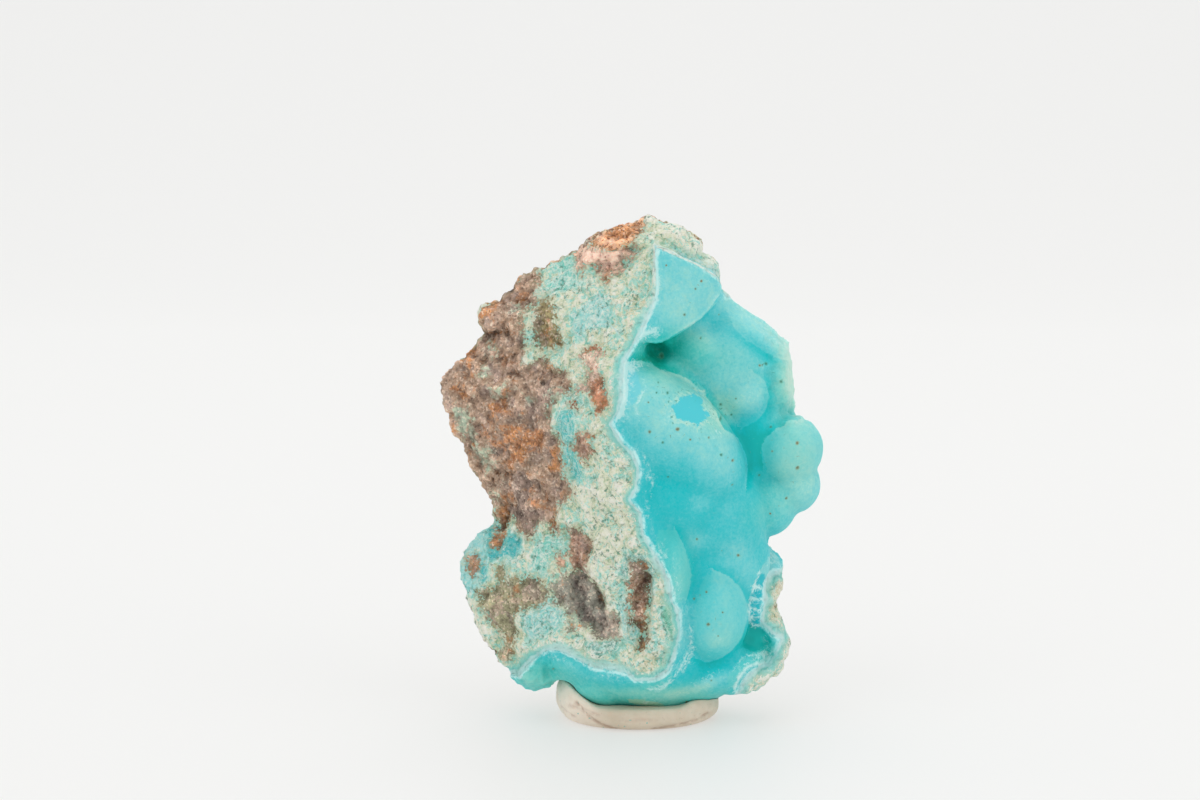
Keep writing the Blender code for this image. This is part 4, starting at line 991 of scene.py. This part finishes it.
def relief(points, crust, brown, pits, front):
    """How far each point moves out along its normal, in millimetres."""
    x, y, z = points.T
    off_domes = smoothstep(0.4, 1.6, dome_distance(points)) * smoothstep(1.0, 5.0, y)
    rough = np.maximum(smoothstep(0.0, -1.0, crust), off_domes)
    even = 1 - rough
    rocky = smoothstep(-0.4, 0.2, brown)
    banded = smoothstep(-2.0, -0.6, crust) * smoothstep(19.0, 17.0, x)
    lumps = LUMP_DEPTH * fractal_at(points, LUMP_SIZE, 3)
    ledges = LEDGE_DEPTH * cell_edges_at(points, LEDGE_SIZE, 0.5)
    crumbs = CRUMB_DEPTH * fractal_at(points, CRUMB_SIZE, 3, 7.0)
    grains = GRAIN_DEPTH * rocky * cell_edges_at(points, GRAIN_SIZE, 0.6)
    move = rough * (lumps + ledges)
    move += rough * (1 - 0.7 * banded) * (crumbs + grains)
    move += smoothstep(5.0, 11.0, y) * BACK_LUMP_DEPTH * noise_at(points, BACK_LUMP_SIZE)
    move -= front * pocket_depth(points[:, [0, 2]])
    move += even * CRUST_WAVE_DEPTH * noise_at(points, CRUST_WAVE_SIZE, 61.0)
    move -= PIT_DEPTH * even * front * np.exp(-(pits[:, 0] ** 2 + pits[:, 1] ** 2))
    move += even * ragged_share(x, z) * RAGGED_DEPTH * fractal_at(points, RAGGED_SIZE, 3, 29.0)
    return move


def store(mesh, name, values):
    if values.ndim == 1:
        attribute = mesh.attributes.new(name, "FLOAT", "POINT")
        attribute.data.foreach_set("value", values.astype(np.float32))
    else:
        attribute = mesh.attributes.new(name, "FLOAT_VECTOR", "POINT")
        attribute.data.foreach_set("vector", values.astype(np.float32).ravel())


def build_specimen():
    """The specimen's mesh with its relief, and the fields that its material reads."""
    made = specimen_form()
    mesh = made.data
    points = fill_valleys(mesh)
    normals = normals_of(mesh)
    wobble, fine = (
        np.stack([noise_at(points, size, shift) for shift in shifts], 1)
        for size, shifts in ((1.6, (11.0, 23.0)), (0.7, (31.0, 43.0)))
    )
    xz = points[:, [0, 2]]
    warped = xz + 0.5 * wobble + 0.25 * fine
    front = smoothstep(0.1, -0.2, normals[:, 1]) * smoothstep(5.5, 3.5, points[:, 1])
    fields = rock_tones(points, warped, front)
    fields.update(crust_marks(xz, warped, wobble, fine, front))
    fields["front"] = front
    fields["crust_mm"] = crust_field(points)
    fields["pit_offset"] = pit_field(xz)
    move = relief(points, fields["crust_mm"], fields["brown_mm"], fields["pit_offset"], front)
    points = points + normals * move[:, None]
    set_coordinates(mesh, points)

    # How deep each point lies in a hollow; the material darkens the rock there as painted shade and deepens
    # the crust's tone.
    relaxed = smoothed(points, edges_of(mesh), HOLLOW_PASSES)
    fields["hollow_mm"] = ((relaxed - points) * normals_of(mesh)).sum(1)
    fields.update(glow_fields(points, xz, front))
    for name, values in fields.items():
        store(mesh, name, values)
    mesh.shade_smooth()
    return made


class Graph:
    """Short calls for building one material's nodes."""

    def __init__(self, name):
        self.material = bpy.data.materials.new(name)
        self.material.use_nodes = True
        self.nodes = self.material.node_tree.nodes
        self.links = self.material.node_tree.links

    def put(self, socket, value):
        if isinstance(value, bpy.types.NodeSocket):
            self.links.new(value, socket)
        elif isinstance(value, tuple) and socket.type == "RGBA":
            socket.default_value = (*value, 1)
        else:
            socket.default_value = value

    def surface(self, inputs):
        """Sets these inputs of the material's shader."""
        for name, value in inputs.items():
            self.put(self.nodes["Principled BSDF"].inputs[name], value)
        return self.material

    def add(self, kind, inputs, output=0, **settings):
        """One output of a new node with these settings and inputs."""
        node = self.nodes.new("ShaderNode" + kind)
        for name, value in settings.items():
            setattr(node, name, value)
        for socket, value in inputs.items():
            self.put(node.inputs[socket], value)
        return node.outputs[output]

    def math(self, operation, *values):
        return self.add("Math", dict(enumerate(values)), operation=operation)

    def times(self, first, second):
        return self.math("MULTIPLY", first, second)

    def minus(self, first, second):
        return self.math("SUBTRACT", first, second)

    def sum(self, start, *terms):
        """The start plus each term, which is a value and its factor."""
        for value, factor in terms:
            start = self.math("MULTIPLY_ADD", value, factor, start)
        return start

    def step(self, low, high, value):
        """0 below low and 1 above high, smooth between."""
        inputs = {"Value": value, "From Min": low, "From Max": high}
        return self.add("MapRange", inputs, "Result", interpolation_type="SMOOTHSTEP")

    def fade(self, low, high, value):
        """1 below low and 0 above high, smooth between."""
        return self.minus(1.0, self.step(low, high, value))

    def around(self, value, centre, half_width):
        """1 at the centre value, falling to 0 half a width away."""
        away = self.math("ABSOLUTE", self.minus(value, centre))
        return self.fade(half_width * 0.35, half_width, away)

    def mix(self, share, first, second):
        inputs = {"Factor": share, "A": first, "B": second}
        return self.add("Mix", inputs, "Result", data_type="RGBA")

    def tint(self, colour, share, strength, tone):
        """The colour moved towards a screen tone by share times strength."""
        return self.mix(self.times(share, strength), colour, rgb(*tone))

    def ramp(self, value, stops):
        """Colours between the screen tones that stand at these values."""
        colour = self.add("ValToRGB", {"Fac": value}, "Color")
        elements = colour.node.color_ramp.elements
        while len(elements) < len(stops):
            elements.new(1.0)
        for element, (place, tone) in zip(elements, stops.items()):
            element.position = place
            element.color = (*rgb(*tone), 1)
        return colour

    def attribute(self, name, output="Fac"):
        return self.add("Attribute", {}, output, attribute_name=name)

    def split(self, vector):
        """The three parts of a vector or a colour."""
        return tuple(self.add("SeparateXYZ", {0: vector}).node.outputs)

    def place(self):
        """The point on the object in millimetres."""
        point = self.add("TexCoord", {}, "Object")
        return self.add("VectorMath", {0: point, "Scale": 1 / MM}, operation="SCALE")

    def noise(self, place, size, detail=2.0, roughness=0.5, distortion=0.0, output="Fac"):
        inputs = {"Vector": place, "Scale": 1 / size, "Detail": detail, "Roughness": roughness}
        return self.add("TexNoise", inputs | {"Distortion": distortion}, output)

    def ripple(self, *settings):
        """Noise of these settings about a middle of 0."""
        return self.minus(self.noise(*settings), 0.5)

    def spots(self, low, high, *settings):
        """Spots of 1 on 0, where noise of these settings rises from low to high."""
        return self.step(low, high, self.noise(*settings))

    def warped(self, place, size, reach):
        """The point moved by up to about half this reach, in swirls of this size."""
        swirl = self.noise(place, size, output="Color")
        away = self.add("VectorMath", {0: swirl, 1: (0.5, 0.5, 0.5)}, operation="SUBTRACT")
        inputs = {0: away, 1: (reach, reach, reach), 2: place}
        return self.add("VectorMath", inputs, operation="MULTIPLY_ADD")

    def cells(self, place, size):
        """Three random numbers of 0 to 1, the same all over each cell of this size."""
        return self.split(self.add("TexVoronoi", {"Vector": place, "Scale": 1 / size}, "Color"))

    def bump(self, height, depth, normal=None):
        """depth is how high a height of 1 stands, in metres."""
        inputs = {"Strength": 1.0, "Distance": depth, "Height": height}
        if normal is not None:
            inputs["Normal"] = normal
        return self.add("Bump", inputs, "Normal")


def shell_edge_and_shade(g, speckle):
    """Paler just inside the edge of each shell, and darker just beyond it as painted shade where the shell's
    edge stands over the surface.
    """
    edge = g.sum(g.attribute("edge_mm"), (speckle, 0.5))
    inside = g.step(-0.10, 0.10, edge)
    beyond = g.times(g.minus(1.0, inside), g.step(-1.6, 0.0, edge))
    border = g.times(inside, g.fade(0.1, 0.7, edge))
    return g.sum(g.times(border, 0.40), (beyond, -0.75))


def chip_in(g, colour, place):
    """The flaked patch, with a torn pale border and green dots round it."""
    torn = g.sum(g.attribute("chip_mm"), (g.ripple(place, 0.7, 5.0, 0.75), 2.0))
    flakes = g.times(g.around(torn, -0.25, 0.55), g.spots(0.42, 0.60, place, 0.8, 3.0, 0.6))
    colour = g.tint(colour, flakes, 0.75, (184, 226, 212))
    dots = g.times(g.around(torn, -0.6, 0.7), g.spots(0.58, 0.66, place, 0.6, 3.0, 0.6))
    colour = g.tint(colour, dots, 0.7, (60, 158, 140))
    return g.mix(g.step(0.0, 0.08, torn), colour, rgb(82, 204, 214))


def layers_in(g, colour, place, crust):
    """Thin pale layers of the crust beside the rim."""
    wisps = g.noise(place, 2.2, 5.0, 0.7, 1.4)
    layers = g.math("SINE", g.sum(g.times(crust, 5.0), (wisps, 26.0)))
    near = g.times(g.fade(0.5, 2.6, crust), g.spots(0.46, 0.62, place, 2.6, 3.0, 0.6))
    return g.tint(colour, g.times(g.step(0.55, 0.98, layers), near), 0.4, (186, 232, 234))


def crust_colour(g, place, crust):
    """The blue hemimorphite: pale on the domes, deep turquoise in the valleys."""
    cloud = g.ripple(place, 5.5, 3.0, 0.55)
    speckle = g.ripple(place, 0.7, 5.0, 0.70)
    grain = g.ripple(place, 0.38, 3.0, 0.7)
    listed_pale = g.attribute("pale")
    # The hollow term deepens the tone in hollows, partly the crust's own deeper tone where it is thicker and
    # partly painted shade; the shell term adds painted shade beyond each shell's edge.
    pale = g.sum(
        listed_pale, (cloud, 0.6), (speckle, 0.75), (grain, 0.80),
        (shell_edge_and_shade(g, speckle), g.attribute("edge_share")), (g.attribute("hollow_mm"), -0.30),
    )
    level = g.sum(0.44, (pale, 0.5))
    greenness = g.step(0.0, 1.0, g.sum(g.attribute("green"), (cloud, 0.5)))
    colour = g.mix(greenness, g.ramp(level, CRUST_BLUE), g.ramp(level, CRUST_GREEN))
    film = g.times(g.spots(0.47, 0.63, place, 1.5, 6.0, 0.72, 0.6), g.step(0.1, 0.7, listed_pale))
    colour = g.tint(colour, film, 0.42, (170, 222, 208))
    patch = g.sum(g.attribute("patch_mm"), (speckle, 1.2))
    patch_share = g.times(g.step(-0.12, 0.12, patch), g.attribute("patch_cover"))
    colour = g.mix(patch_share, colour, g.attribute("patch_colour", "Color"))
    colour = chip_in(g, colour, place)
    return layers_in(g, colour, place, crust)


def pits_in(g, colour, ragged):
    """Small ragged pits: a rusty or green ring round a dark core."""
    across, along, green = g.split(g.attribute("pit_offset", "Vector"))
    square = g.sum(g.times(along, along), (across, across))
    away = g.sum(g.math("SQRT", square), (ragged, 1.8))
    ring = g.mix(green, rgb(166, 156, 96), rgb(84, 170, 146))
    core = g.mix(green, rgb(116, 88, 40), rgb(44, 122, 100))
    front = g.attribute("front")
    for tone, near, far, strength in ((ring, 0.6, 1.2, 0.50), (core, 0.2, 0.75, 0.70)):
        share = g.times(g.fade(near, far, away), g.times(front, strength))
        colour = g.mix(share, colour, tone)
    return colour


def islands_in(g, colour, place, zone, wisps, crumbs, full):
    """Aqua islands with pale shores among the crumbs, close together in the blue patches."""
    blue = g.attribute("blue_mm")
    cream = g.attribute("cream")
    aqua = g.sum(0.49, (zone, -0.55), (g.step(-1.0, 0.8, blue), 0.26), (full, 0.14), (cream, -0.075))
    islands = g.noise(place, 1.05, 5.0, 0.66, 0.9)
    edge = g.sum(aqua, (islands, 1.0), (g.attribute("hollow_mm"), 0.10))
    shore = g.times(g.around(edge, 0.695, 0.045), g.step(0.35, 0.60, crumbs))
    colour = g.tint(colour, shore, 0.6, (242, 240, 220))
    in_patch = g.times(g.step(-0.4, 0.4, blue), g.fade(0.54, 0.72, wisps))
    in_patch = g.math("MAXIMUM", in_patch, g.times(full, 0.9))
    crumbled = g.times(g.step(0.42, 0.62, crumbs), g.sum(1.0, (full, -0.6)))
    patch_colour = g.mix(crumbled, g.attribute("blue_colour", "Color"), rgb(196, 238, 230))
    water = g.ramp(g.sum(g.times(crumbs, 0.5), (wisps, 0.8)), WATER_TONES)
    water = g.mix(g.times(in_patch, 0.90), water, patch_colour)
    return g.mix(g.times(g.step(0.67, 0.79, edge), 0.85), colour, water)


def bands_in(g, colour, place, zone, wisps):
    """Pale and deep bands that swirl round the blue patches, as in agate."""
    blue = g.attribute("blue_mm")
    bands = g.math("SINE", g.sum(g.times(wisps, 7.0), (zone, 16.0), (blue, 9.0)))
    near = g.times(g.step(-1.3, -0.3, blue), g.spots(0.36, 0.54, place, 2.8, 3.0, 0.6))
    colour = g.tint(colour, g.times(g.step(0.45, 0.95, bands), near), 0.65, (228, 244, 236))
    return g.tint(colour, g.times(g.fade(-0.95, -0.55, bands), near), 0.50, (112, 204, 196))


def curls_in(g, colour, place, crumbs):
    """Cream ridges that curl through the rock, with green gaps between them."""
    curl = g.math("ABSOLUTE", g.ripple(place, 1.9, 2.0, 0.55, 1.6))
    ridge = g.times(g.fade(0.012, 0.040, curl), g.step(0.40, 0.56, crumbs))
    colour = g.tint(colour, ridge, 0.60, (250, 250, 234))
    gap = g.times(g.step(0.10, 0.17, curl), g.spots(0.40, 0.58, place, 1.1, 4.0, 0.65))
    return g.tint(colour, gap, 0.55, (132, 190, 164))


def cream_colour(g, place, wisps, crumbs):
    """The altered matrix: cream crumbs with aqua islands and green pores, and how deep each pore is."""
    zone = g.noise(place, 4.2, 4.0, 0.6, 0.6)
    cream = g.attribute("cream")
    # The hollow term makes the cream darker in the hollows, as painted shade.
    light = g.sum(-0.49, (crumbs, 1.0), (wisps, 1.0), (g.attribute("hollow_mm"), -0.5), (cream, 0.10))
    colour = g.ramp(light, CREAM_TONES)
    ochre = g.times(g.step(0.2, 0.8, g.attribute("ochre")), g.step(0.46, 0.60, wisps))
    colour = g.tint(colour, ochre, 0.6, (206, 188, 128))
    full = g.times(g.step(-0.3, 0.5, g.attribute("blue_mm")), g.attribute("blue_full"))
    colour = islands_in(g, colour, place, zone, wisps, crumbs, full)
    colour = bands_in(g, colour, place, zone, wisps)
    colour = curls_in(g, colour, place, crumbs)
    porous = g.sum(g.noise(place, 1.8, 4.0, 0.65), (cream, 0.05))
    pores = g.times(g.spots(0.57, 0.64, place, 0.62, 3.0, 0.6, 0.7), g.step(0.46, 0.58, porous))
    colour = g.tint(colour, pores, 0.75, (104, 160, 136))
    solid = g.times(full, g.spots(0.38, 0.52, place, 0.9, 5.0, 0.68))
    colour = g.mix(g.times(solid, 0.70), colour, g.attribute("blue_colour", "Color"))
    white_crumbs = g.spots(0.60, 0.68, place, 0.9, 5.0, 0.72, 0.8)
    return g.tint(colour, white_crumbs, 0.65, (246, 250, 240)), pores


def brown_colour(g, place, fine, grains, bent):
    """Granular brown rock: each grain lighter, darker, rustier or greener than the patch's own colour, and
    darker in the hollows as painted shade.
    """
    blotches = g.cells(bent, 1.9)
    soft = g.ripple(place, 1.3, 6.0, 0.72)
    cloud = g.noise(place, 3.0, 5.0, 0.62)
    height = g.split(place)[2]
    # The hollow term is painted shade in the rock's hollows.
    value = g.sum(
        0.72, (grains[1], 0.34), (fine[0], 0.24), (blotches[1], 0.34), (soft, 2.6),
        (g.attribute("hollow_mm"), -1.2), (g.minus(cloud, 0.45), 1.1), (g.step(68.0, 70.5, height), 0.10),
    )
    patchy = g.times(g.minus(cloud, 0.5), 4.0)
    grey = g.sum(patchy, (g.attribute("grey"), 1.0), (soft, 2.0), (g.minus(blotches[0], 0.5), 1.2))
    colour = g.attribute("brown_colour", "Color")
    colour = g.tint(colour, g.step(0.25, 0.9, grey), 0.65, (130, 115, 110))
    pinkish = g.times(g.step(0.62, 0.80, blotches[2]), g.spots(0.40, 0.60, place, 1.0, 5.0, 0.68, 0.8))
    colour = g.tint(colour, pinkish, 0.55, (206, 178, 162))
    rust = g.sum(g.minus(g.attribute("rust"), patchy), (grains[0], 0.5), (blotches[0], -0.5))
    colour = g.tint(colour, g.step(0.20, 0.95, rust), 0.74, (188, 126, 82))
    green = g.sum(g.attribute("rock_green"), (grains[2], 0.7), (soft, 2.0))
    colour = g.tint(colour, g.step(0.7, 1.3, green), 0.7, (162, 186, 164))
    pitted = g.times(g.spots(0.52, 0.58, place, 1.1, 4.0, 0.7, 0.6), g.step(71.6, 73.0, height))
    colour = g.tint(colour, pitted, 0.80, (112, 56, 32))
    colour = g.tint(colour, g.math("GREATER_THAN", fine[1], 0.82), 0.36, (232, 214, 194))
    golden = g.times(g.math("GREATER_THAN", fine[2], 0.80), g.step(0.3, 1.0, rust))
    colour = g.tint(colour, golden, 0.40, (222, 160, 96))
    colour = g.tint(colour, g.math("LESS_THAN", fine[2], 0.12), 0.40, (76, 58, 50))
    return g.add("VectorMath", {0: colour, "Scale": g.math("MAXIMUM", value, 0.25)}, operation="SCALE")


def band_in(g, matrix, place, crust, on_brown, wisps, crumbs):
    """The band of aqua and whitish rock beside the rim."""
    unevenness = g.minus(wisps, 0.5)
    width = g.sum(0.4, (g.noise(place, 4.0, 2.0), 2.2))
    depth = g.sum(g.math("DIVIDE", g.times(crust, -1.0), width), (unevenness, 0.5))
    whiteness = g.sum(g.attribute("white_band"), (unevenness, 2.2))
    band = g.mix(g.step(0.25, 0.75, whiteness), g.ramp(depth, AQUA_BAND), g.ramp(depth, WHITE_BAND))
    in_band = g.fade(0.70, 1.05, g.sum(depth, (g.minus(crumbs, 0.5), 2.0)))
    share = g.times(g.times(in_band, g.sum(0.9, (on_brown, -0.6))), g.attribute("band"))
    return g.mix(share, matrix, band)


def rim_in(g, colour, place, crust):
    """The broken white line between the crust and the rock."""
    share = g.times(g.times(g.spots(0.34, 0.58, place, 1.4, 5.0, 0.70), 0.92), g.attribute("band"))
    width = g.sum(0.08, (g.noise(place, 2.4, 2.0), 0.9))
    away = g.math("DIVIDE", g.math("ABSOLUTE", crust), width)
    return g.tint(colour, g.fade(0.35, 1.0, away), share, (202, 241, 239))


def frost_in(g, colour, place, ragged, on_crust):
    """White frosting on the crust, and the drawn lines of its sheets and rungs."""
    drawn = g.math("ABSOLUTE", g.sum(g.attribute("line_mm"), (ragged, 0.6)))
    line_share = g.attribute("line_share")
    frost = g.sum(
        g.attribute("frost"), (g.times(g.fade(0.05, 0.75, drawn), line_share), 0.75),
        (g.ripple(place, 0.6, 5.0, 0.72, 0.5), 2.4),
    )
    colour = g.tint(colour, g.times(g.step(0.28, 0.90, frost), on_crust), 0.72, (204, 237, 233))
    drawn_share = g.times(line_share, g.spots(0.40, 0.62, place, 1.2, 4.0, 0.65))
    return g.tint(colour, g.fade(0.02, 0.20, drawn), drawn_share, (210, 240, 236))


def specimen_material():
    g = Graph("hemimorphite_and_matrix")
    place = g.place()
    ragged = g.ripple(place, 0.8, 4.0, 0.65)
    broad = g.ripple(place, 2.4, 4.0, 0.65)
    wisps = g.noise(place, 1.5, 6.0, 0.70, 1.6)
    crumbs = g.noise(place, 0.55, 4.0, 0.68, 1.0)
    bent = g.warped(place, 1.4, 1.3)
    fine = g.cells(place, 0.30)
    grains = g.cells(bent, 0.80)
    crust = g.sum(g.attribute("crust_mm"), (ragged, 0.7))
    brown = g.sum(g.attribute("brown_mm"), (broad, 2.4), (ragged, 1.8), (g.minus(fine[0], 0.5), 0.8))
    on_crust = g.step(-0.05, 0.05, crust)
    on_brown = g.step(-0.10, 0.10, brown)

    pale_rock, pores = cream_colour(g, place, wisps, crumbs)
    halo = g.times(g.fade(0.1, 1.3, g.math("ABSOLUTE", brown)), g.step(0.40, 0.60, wisps))
    pale_rock = g.tint(pale_rock, halo, 0.55, (196, 192, 150))
    rock = brown_colour(g, place, fine, grains, bent)
    rock = g.tint(rock, g.fade(0.0, 0.9, brown), 0.35, (158, 158, 122))
    matrix = g.mix(on_brown, pale_rock, rock)
    matrix = band_in(g, matrix, place, crust, on_brown, wisps, crumbs)
    blue_rock = pits_in(g, crust_colour(g, place, crust), ragged)
    colour = g.mix(on_crust, matrix, blue_rock)
    colour = rim_in(g, colour, place, crust)
    colour = frost_in(g, colour, place, ragged, on_crust)

    height = g.sum(crumbs, (wisps, 0.9), (pores, -0.5))
    height = g.sum(height, (g.times(on_brown, fine[0]), 0.5), (g.times(on_brown, grains[1]), 0.5))
    normal = g.bump(g.times(height, g.minus(1.0, on_crust)), ROCK_BUMP)
    silk = g.times(on_crust, g.noise(place, 0.5, 4.0, 0.6))
    return g.surface({
        "Base Color": colour,
        "Roughness": g.sum(ROCK_ROUGHNESS, (on_crust, CRUST_ROUGHNESS - ROCK_ROUGHNESS)),
        "Subsurface Weight": g.sum(ROCK_SCATTER, (on_crust, CRUST_SCATTER - ROCK_SCATTER)),
        "Subsurface Radius": (0.35, 1.0, 1.0),
        "Subsurface Scale": SCATTER_REACH,
        "Specular IOR Level": 0.2,
        "Normal": g.bump(silk, CRUST_BUMP, normal),
    })


def putty_top(x):
    """Height of the putty: low in the middle and raised at both ends."""
    rise = np.where(x < 0, PUTTY_LEFT_RISE, PUTTY_RIGHT_RISE)
    return PUTTY_HEIGHT + rise * smoothstep(0.45, 1.0, np.abs(x) / PUTTY_RADIUS_X)


def putty_profile(level):
    """Shares of the radius and of the height on the bulging side, from a level of -1 at the foot to 1."""
    turn = level * math.pi / 2
    inset = np.where(level < 0, PUTTY_FOOT_INSET, PUTTY_TOP_INSET)
    reach = np.where(level < 0, PUTTY_WAIST, 1 - PUTTY_WAIST)
    return 1 - inset * (1 - np.cos(turn)), PUTTY_WAIST + reach * np.sin(turn)


def crease_at(points):
    """How much of a crease's full depth each point of the putty lies in."""
    xz = points[:, [0, 2]]
    total = np.zeros(len(points))
    for facing, creases in ((points[:, 1] < 0, FRONT_CREASES), (points[:, 1] >= 0, BACK_CREASES)):
        away, share = line_field(xz, creases)
        total += facing * share * np.exp(-((away / CREASE_WIDTH) ** 2))
    return total


def putty_points(unit):
    """The unit ball's points pressed into the lump, and the way out from the lump's axis at each."""
    flat = np.hypot(unit[:, 0], unit[:, 1])
    side = unit[:, :2] / np.maximum(flat, 1e-6)[:, None]
    polar = np.arctan2(unit[:, 2], flat) / (math.pi / 2)
    share, lift = putty_profile(np.clip(polar / PUTTY_SIDE_SHARE, -1, 1))
    inner = np.clip((1 - np.abs(polar)) / (1 - PUTTY_SIDE_SHARE), 0, 1)
    x = side[:, 0] * PUTTY_RADIUS_X * share * inner
    y = side[:, 1] * PUTTY_RADIUS_Y * share * inner
    height = putty_top(x) * lift
    points = np.stack([x, y, height], 1)
    folds = noise_at(points * np.array([FOLD_STRETCH, 1, 1]), FOLD_SIZE, 71)
    wobble = 0.3 * noise_at(points, 4) + FOLD_DEPTH * folds + 0.07 * noise_at(points, 1.1, 5)
    wobble *= smoothstep(0.0, 1.0, height)
    points[:, :2] += side * (wobble * smoothstep(0.5, 1.0, inner))[:, None]
    return points, side


def print_of(specimen, points):
    """The points kept below the stone, with a thin gap."""
    tree = BVHTree.FromObject(specimen, bpy.context.evaluated_depsgraph_get())
    for i, point in enumerate(points):
        start = Vector((point[0], point[1], -1.0)) * MM
        hit = tree.ray_cast(start, Vector((0, 0, 1)))[0]
        if hit is not None:
            points[i, 2] = min(point[2], hit.z / MM - PUTTY_GAP)


def build_putty(specimen):
    """The pressed lump, with the print of the stone in its top."""
    bm = bmesh.new()
    bmesh.ops.create_icosphere(bm, subdivisions=PUTTY_DIVISIONS, radius=1)
    made = new_object("putty_lump", bm)
    mesh = made.data
    points, side = putty_points(coordinates(mesh) * MM)
    crease = crease_at(points)
    points[:, :2] -= side * (CREASE_DEPTH * crease)[:, None]
    print_of(specimen, points)
    set_coordinates(mesh, points)
    store(mesh, "crease", crease)
    mesh.shade_smooth()
    return made


def putty_material():
    g = Graph("putty")
    place = g.place()
    colour = g.ramp(g.noise(place, 5.0, 4.0, 0.6), PUTTY_TONES)
    across = g.split(place)[0]
    crease = g.times(g.attribute("crease"), g.spots(0.30, 0.60, place, 0.9, 3.0, 0.6))
    tints = (
        # Painted light on the left end, which stands clear of the stone's overhang.
        (g.fade(-11.5, -5.0, across), 0.80, (246, 234, 219)),
        # Painted shade in the middle, under the stone's overhang.
        (g.around(across, 0.5, 9.0), 0.35, (192, 182, 160)),
        (g.spots(0.68, 0.74, place, 0.40, 2.0, 0.5), 0.30, (160, 132, 108)),
        (g.spots(0.5, 0.7, place, 2.2, 4.0, 0.65), 0.25, (222, 190, 168)),
        (crease, 0.60, (150, 112, 90)),
        (g.spots(0.735, 0.755, place, 0.55, 1.0, 0.5), 0.80, (92, 176, 164)),
    )
    for share, strength, tone in tints:
        colour = g.tint(colour, share, strength, tone)
    return g.surface({
        "Base Color": colour,
        "Roughness": 0.72,
        "Subsurface Weight": 0.15,
        "Subsurface Radius": (1.0, 0.7, 0.5),
        "Subsurface Scale": 0.001,
        "Normal": g.bump(g.noise(place, 0.8, 5.0, 0.6), PUTTY_BUMP),
    })


def build_stage():
    """A pale floor that sweeps up into the backdrop."""
    profile = [(STAGE_FRONT, 0.0), (STAGE_BACK - SWEEP_RADIUS, 0.0)]
    for i in range(1, SWEEP_STEPS + 1):
        angle = math.pi / 2 * i / SWEEP_STEPS
        y = STAGE_BACK - SWEEP_RADIUS + SWEEP_RADIUS * math.sin(angle)
        profile.append((y, SWEEP_RADIUS - SWEEP_RADIUS * math.cos(angle)))
    profile.append((STAGE_BACK, STAGE_HEIGHT))
    bm = bmesh.new()
    sides = (-STAGE_HALF_WIDTH, STAGE_HALF_WIDTH)
    left, right = ([bm.verts.new((x, y, z)) for y, z in profile] for x in sides)
    for i in range(len(profile) - 1):
        bm.faces.new((left[i], right[i], right[i + 1], left[i + 1]))
    floor = new_object("floor", bm)
    floor.data.shade_smooth()
    floor.data.materials.append(Graph("floor").surface({
        "Base Color": (0.42, 0.42, 0.415),
        "Emission Color": (1.0, 1.0, 0.99),
        "Emission Strength": 0.42,
        "Roughness": 0.55,
    }))


def build_light():
    world = bpy.data.worlds.new("studio")
    world.use_nodes = True
    world.node_tree.nodes["Background"].inputs["Color"].default_value = (1, 1, 1, 1)
    world.node_tree.nodes["Background"].inputs["Strength"].default_value = WORLD_STRENGTH
    bpy.context.scene.world = world
    for name, (place, size, power) in LIGHTS.items():
        data = bpy.data.lights.new(name, "AREA")
        data.shape = "RECTANGLE"
        data.size, data.size_y = size
        data.energy = power
        lamp = place_in_scene(name, data)
        lamp.location = place
        lamp.rotation_euler = (CAMERA_TARGET - Vector(place)).to_track_quat("-Z", "Y").to_euler()
    bpy.context.scene.view_settings.view_transform = "Standard"


def build_camera():
    data = bpy.data.cameras.new("camera")
    data.lens = CAMERA_LENS
    data.sensor_width = SENSOR_WIDTH
    data.clip_start = CAMERA_NEAR
    camera = place_in_scene("camera", data)
    away = Vector((0, -math.cos(CAMERA_ELEVATION), math.sin(CAMERA_ELEVATION)))
    camera.location = CAMERA_TARGET + CAMERA_DISTANCE * away
    camera.rotation_euler = (-away).to_track_quat("-Z", "Y").to_euler()
    bpy.context.scene.camera = camera


def main():
    build_camera()
    build_light()
    build_stage()
    specimen = build_specimen()
    specimen.data.materials.append(specimen_material())
    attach(specimen, "root")
    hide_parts("hemimorphite")
    putty = build_putty(specimen)
    putty.data.materials.append(putty_material())
    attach(putty, "root")
    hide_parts("putty_base")


main()
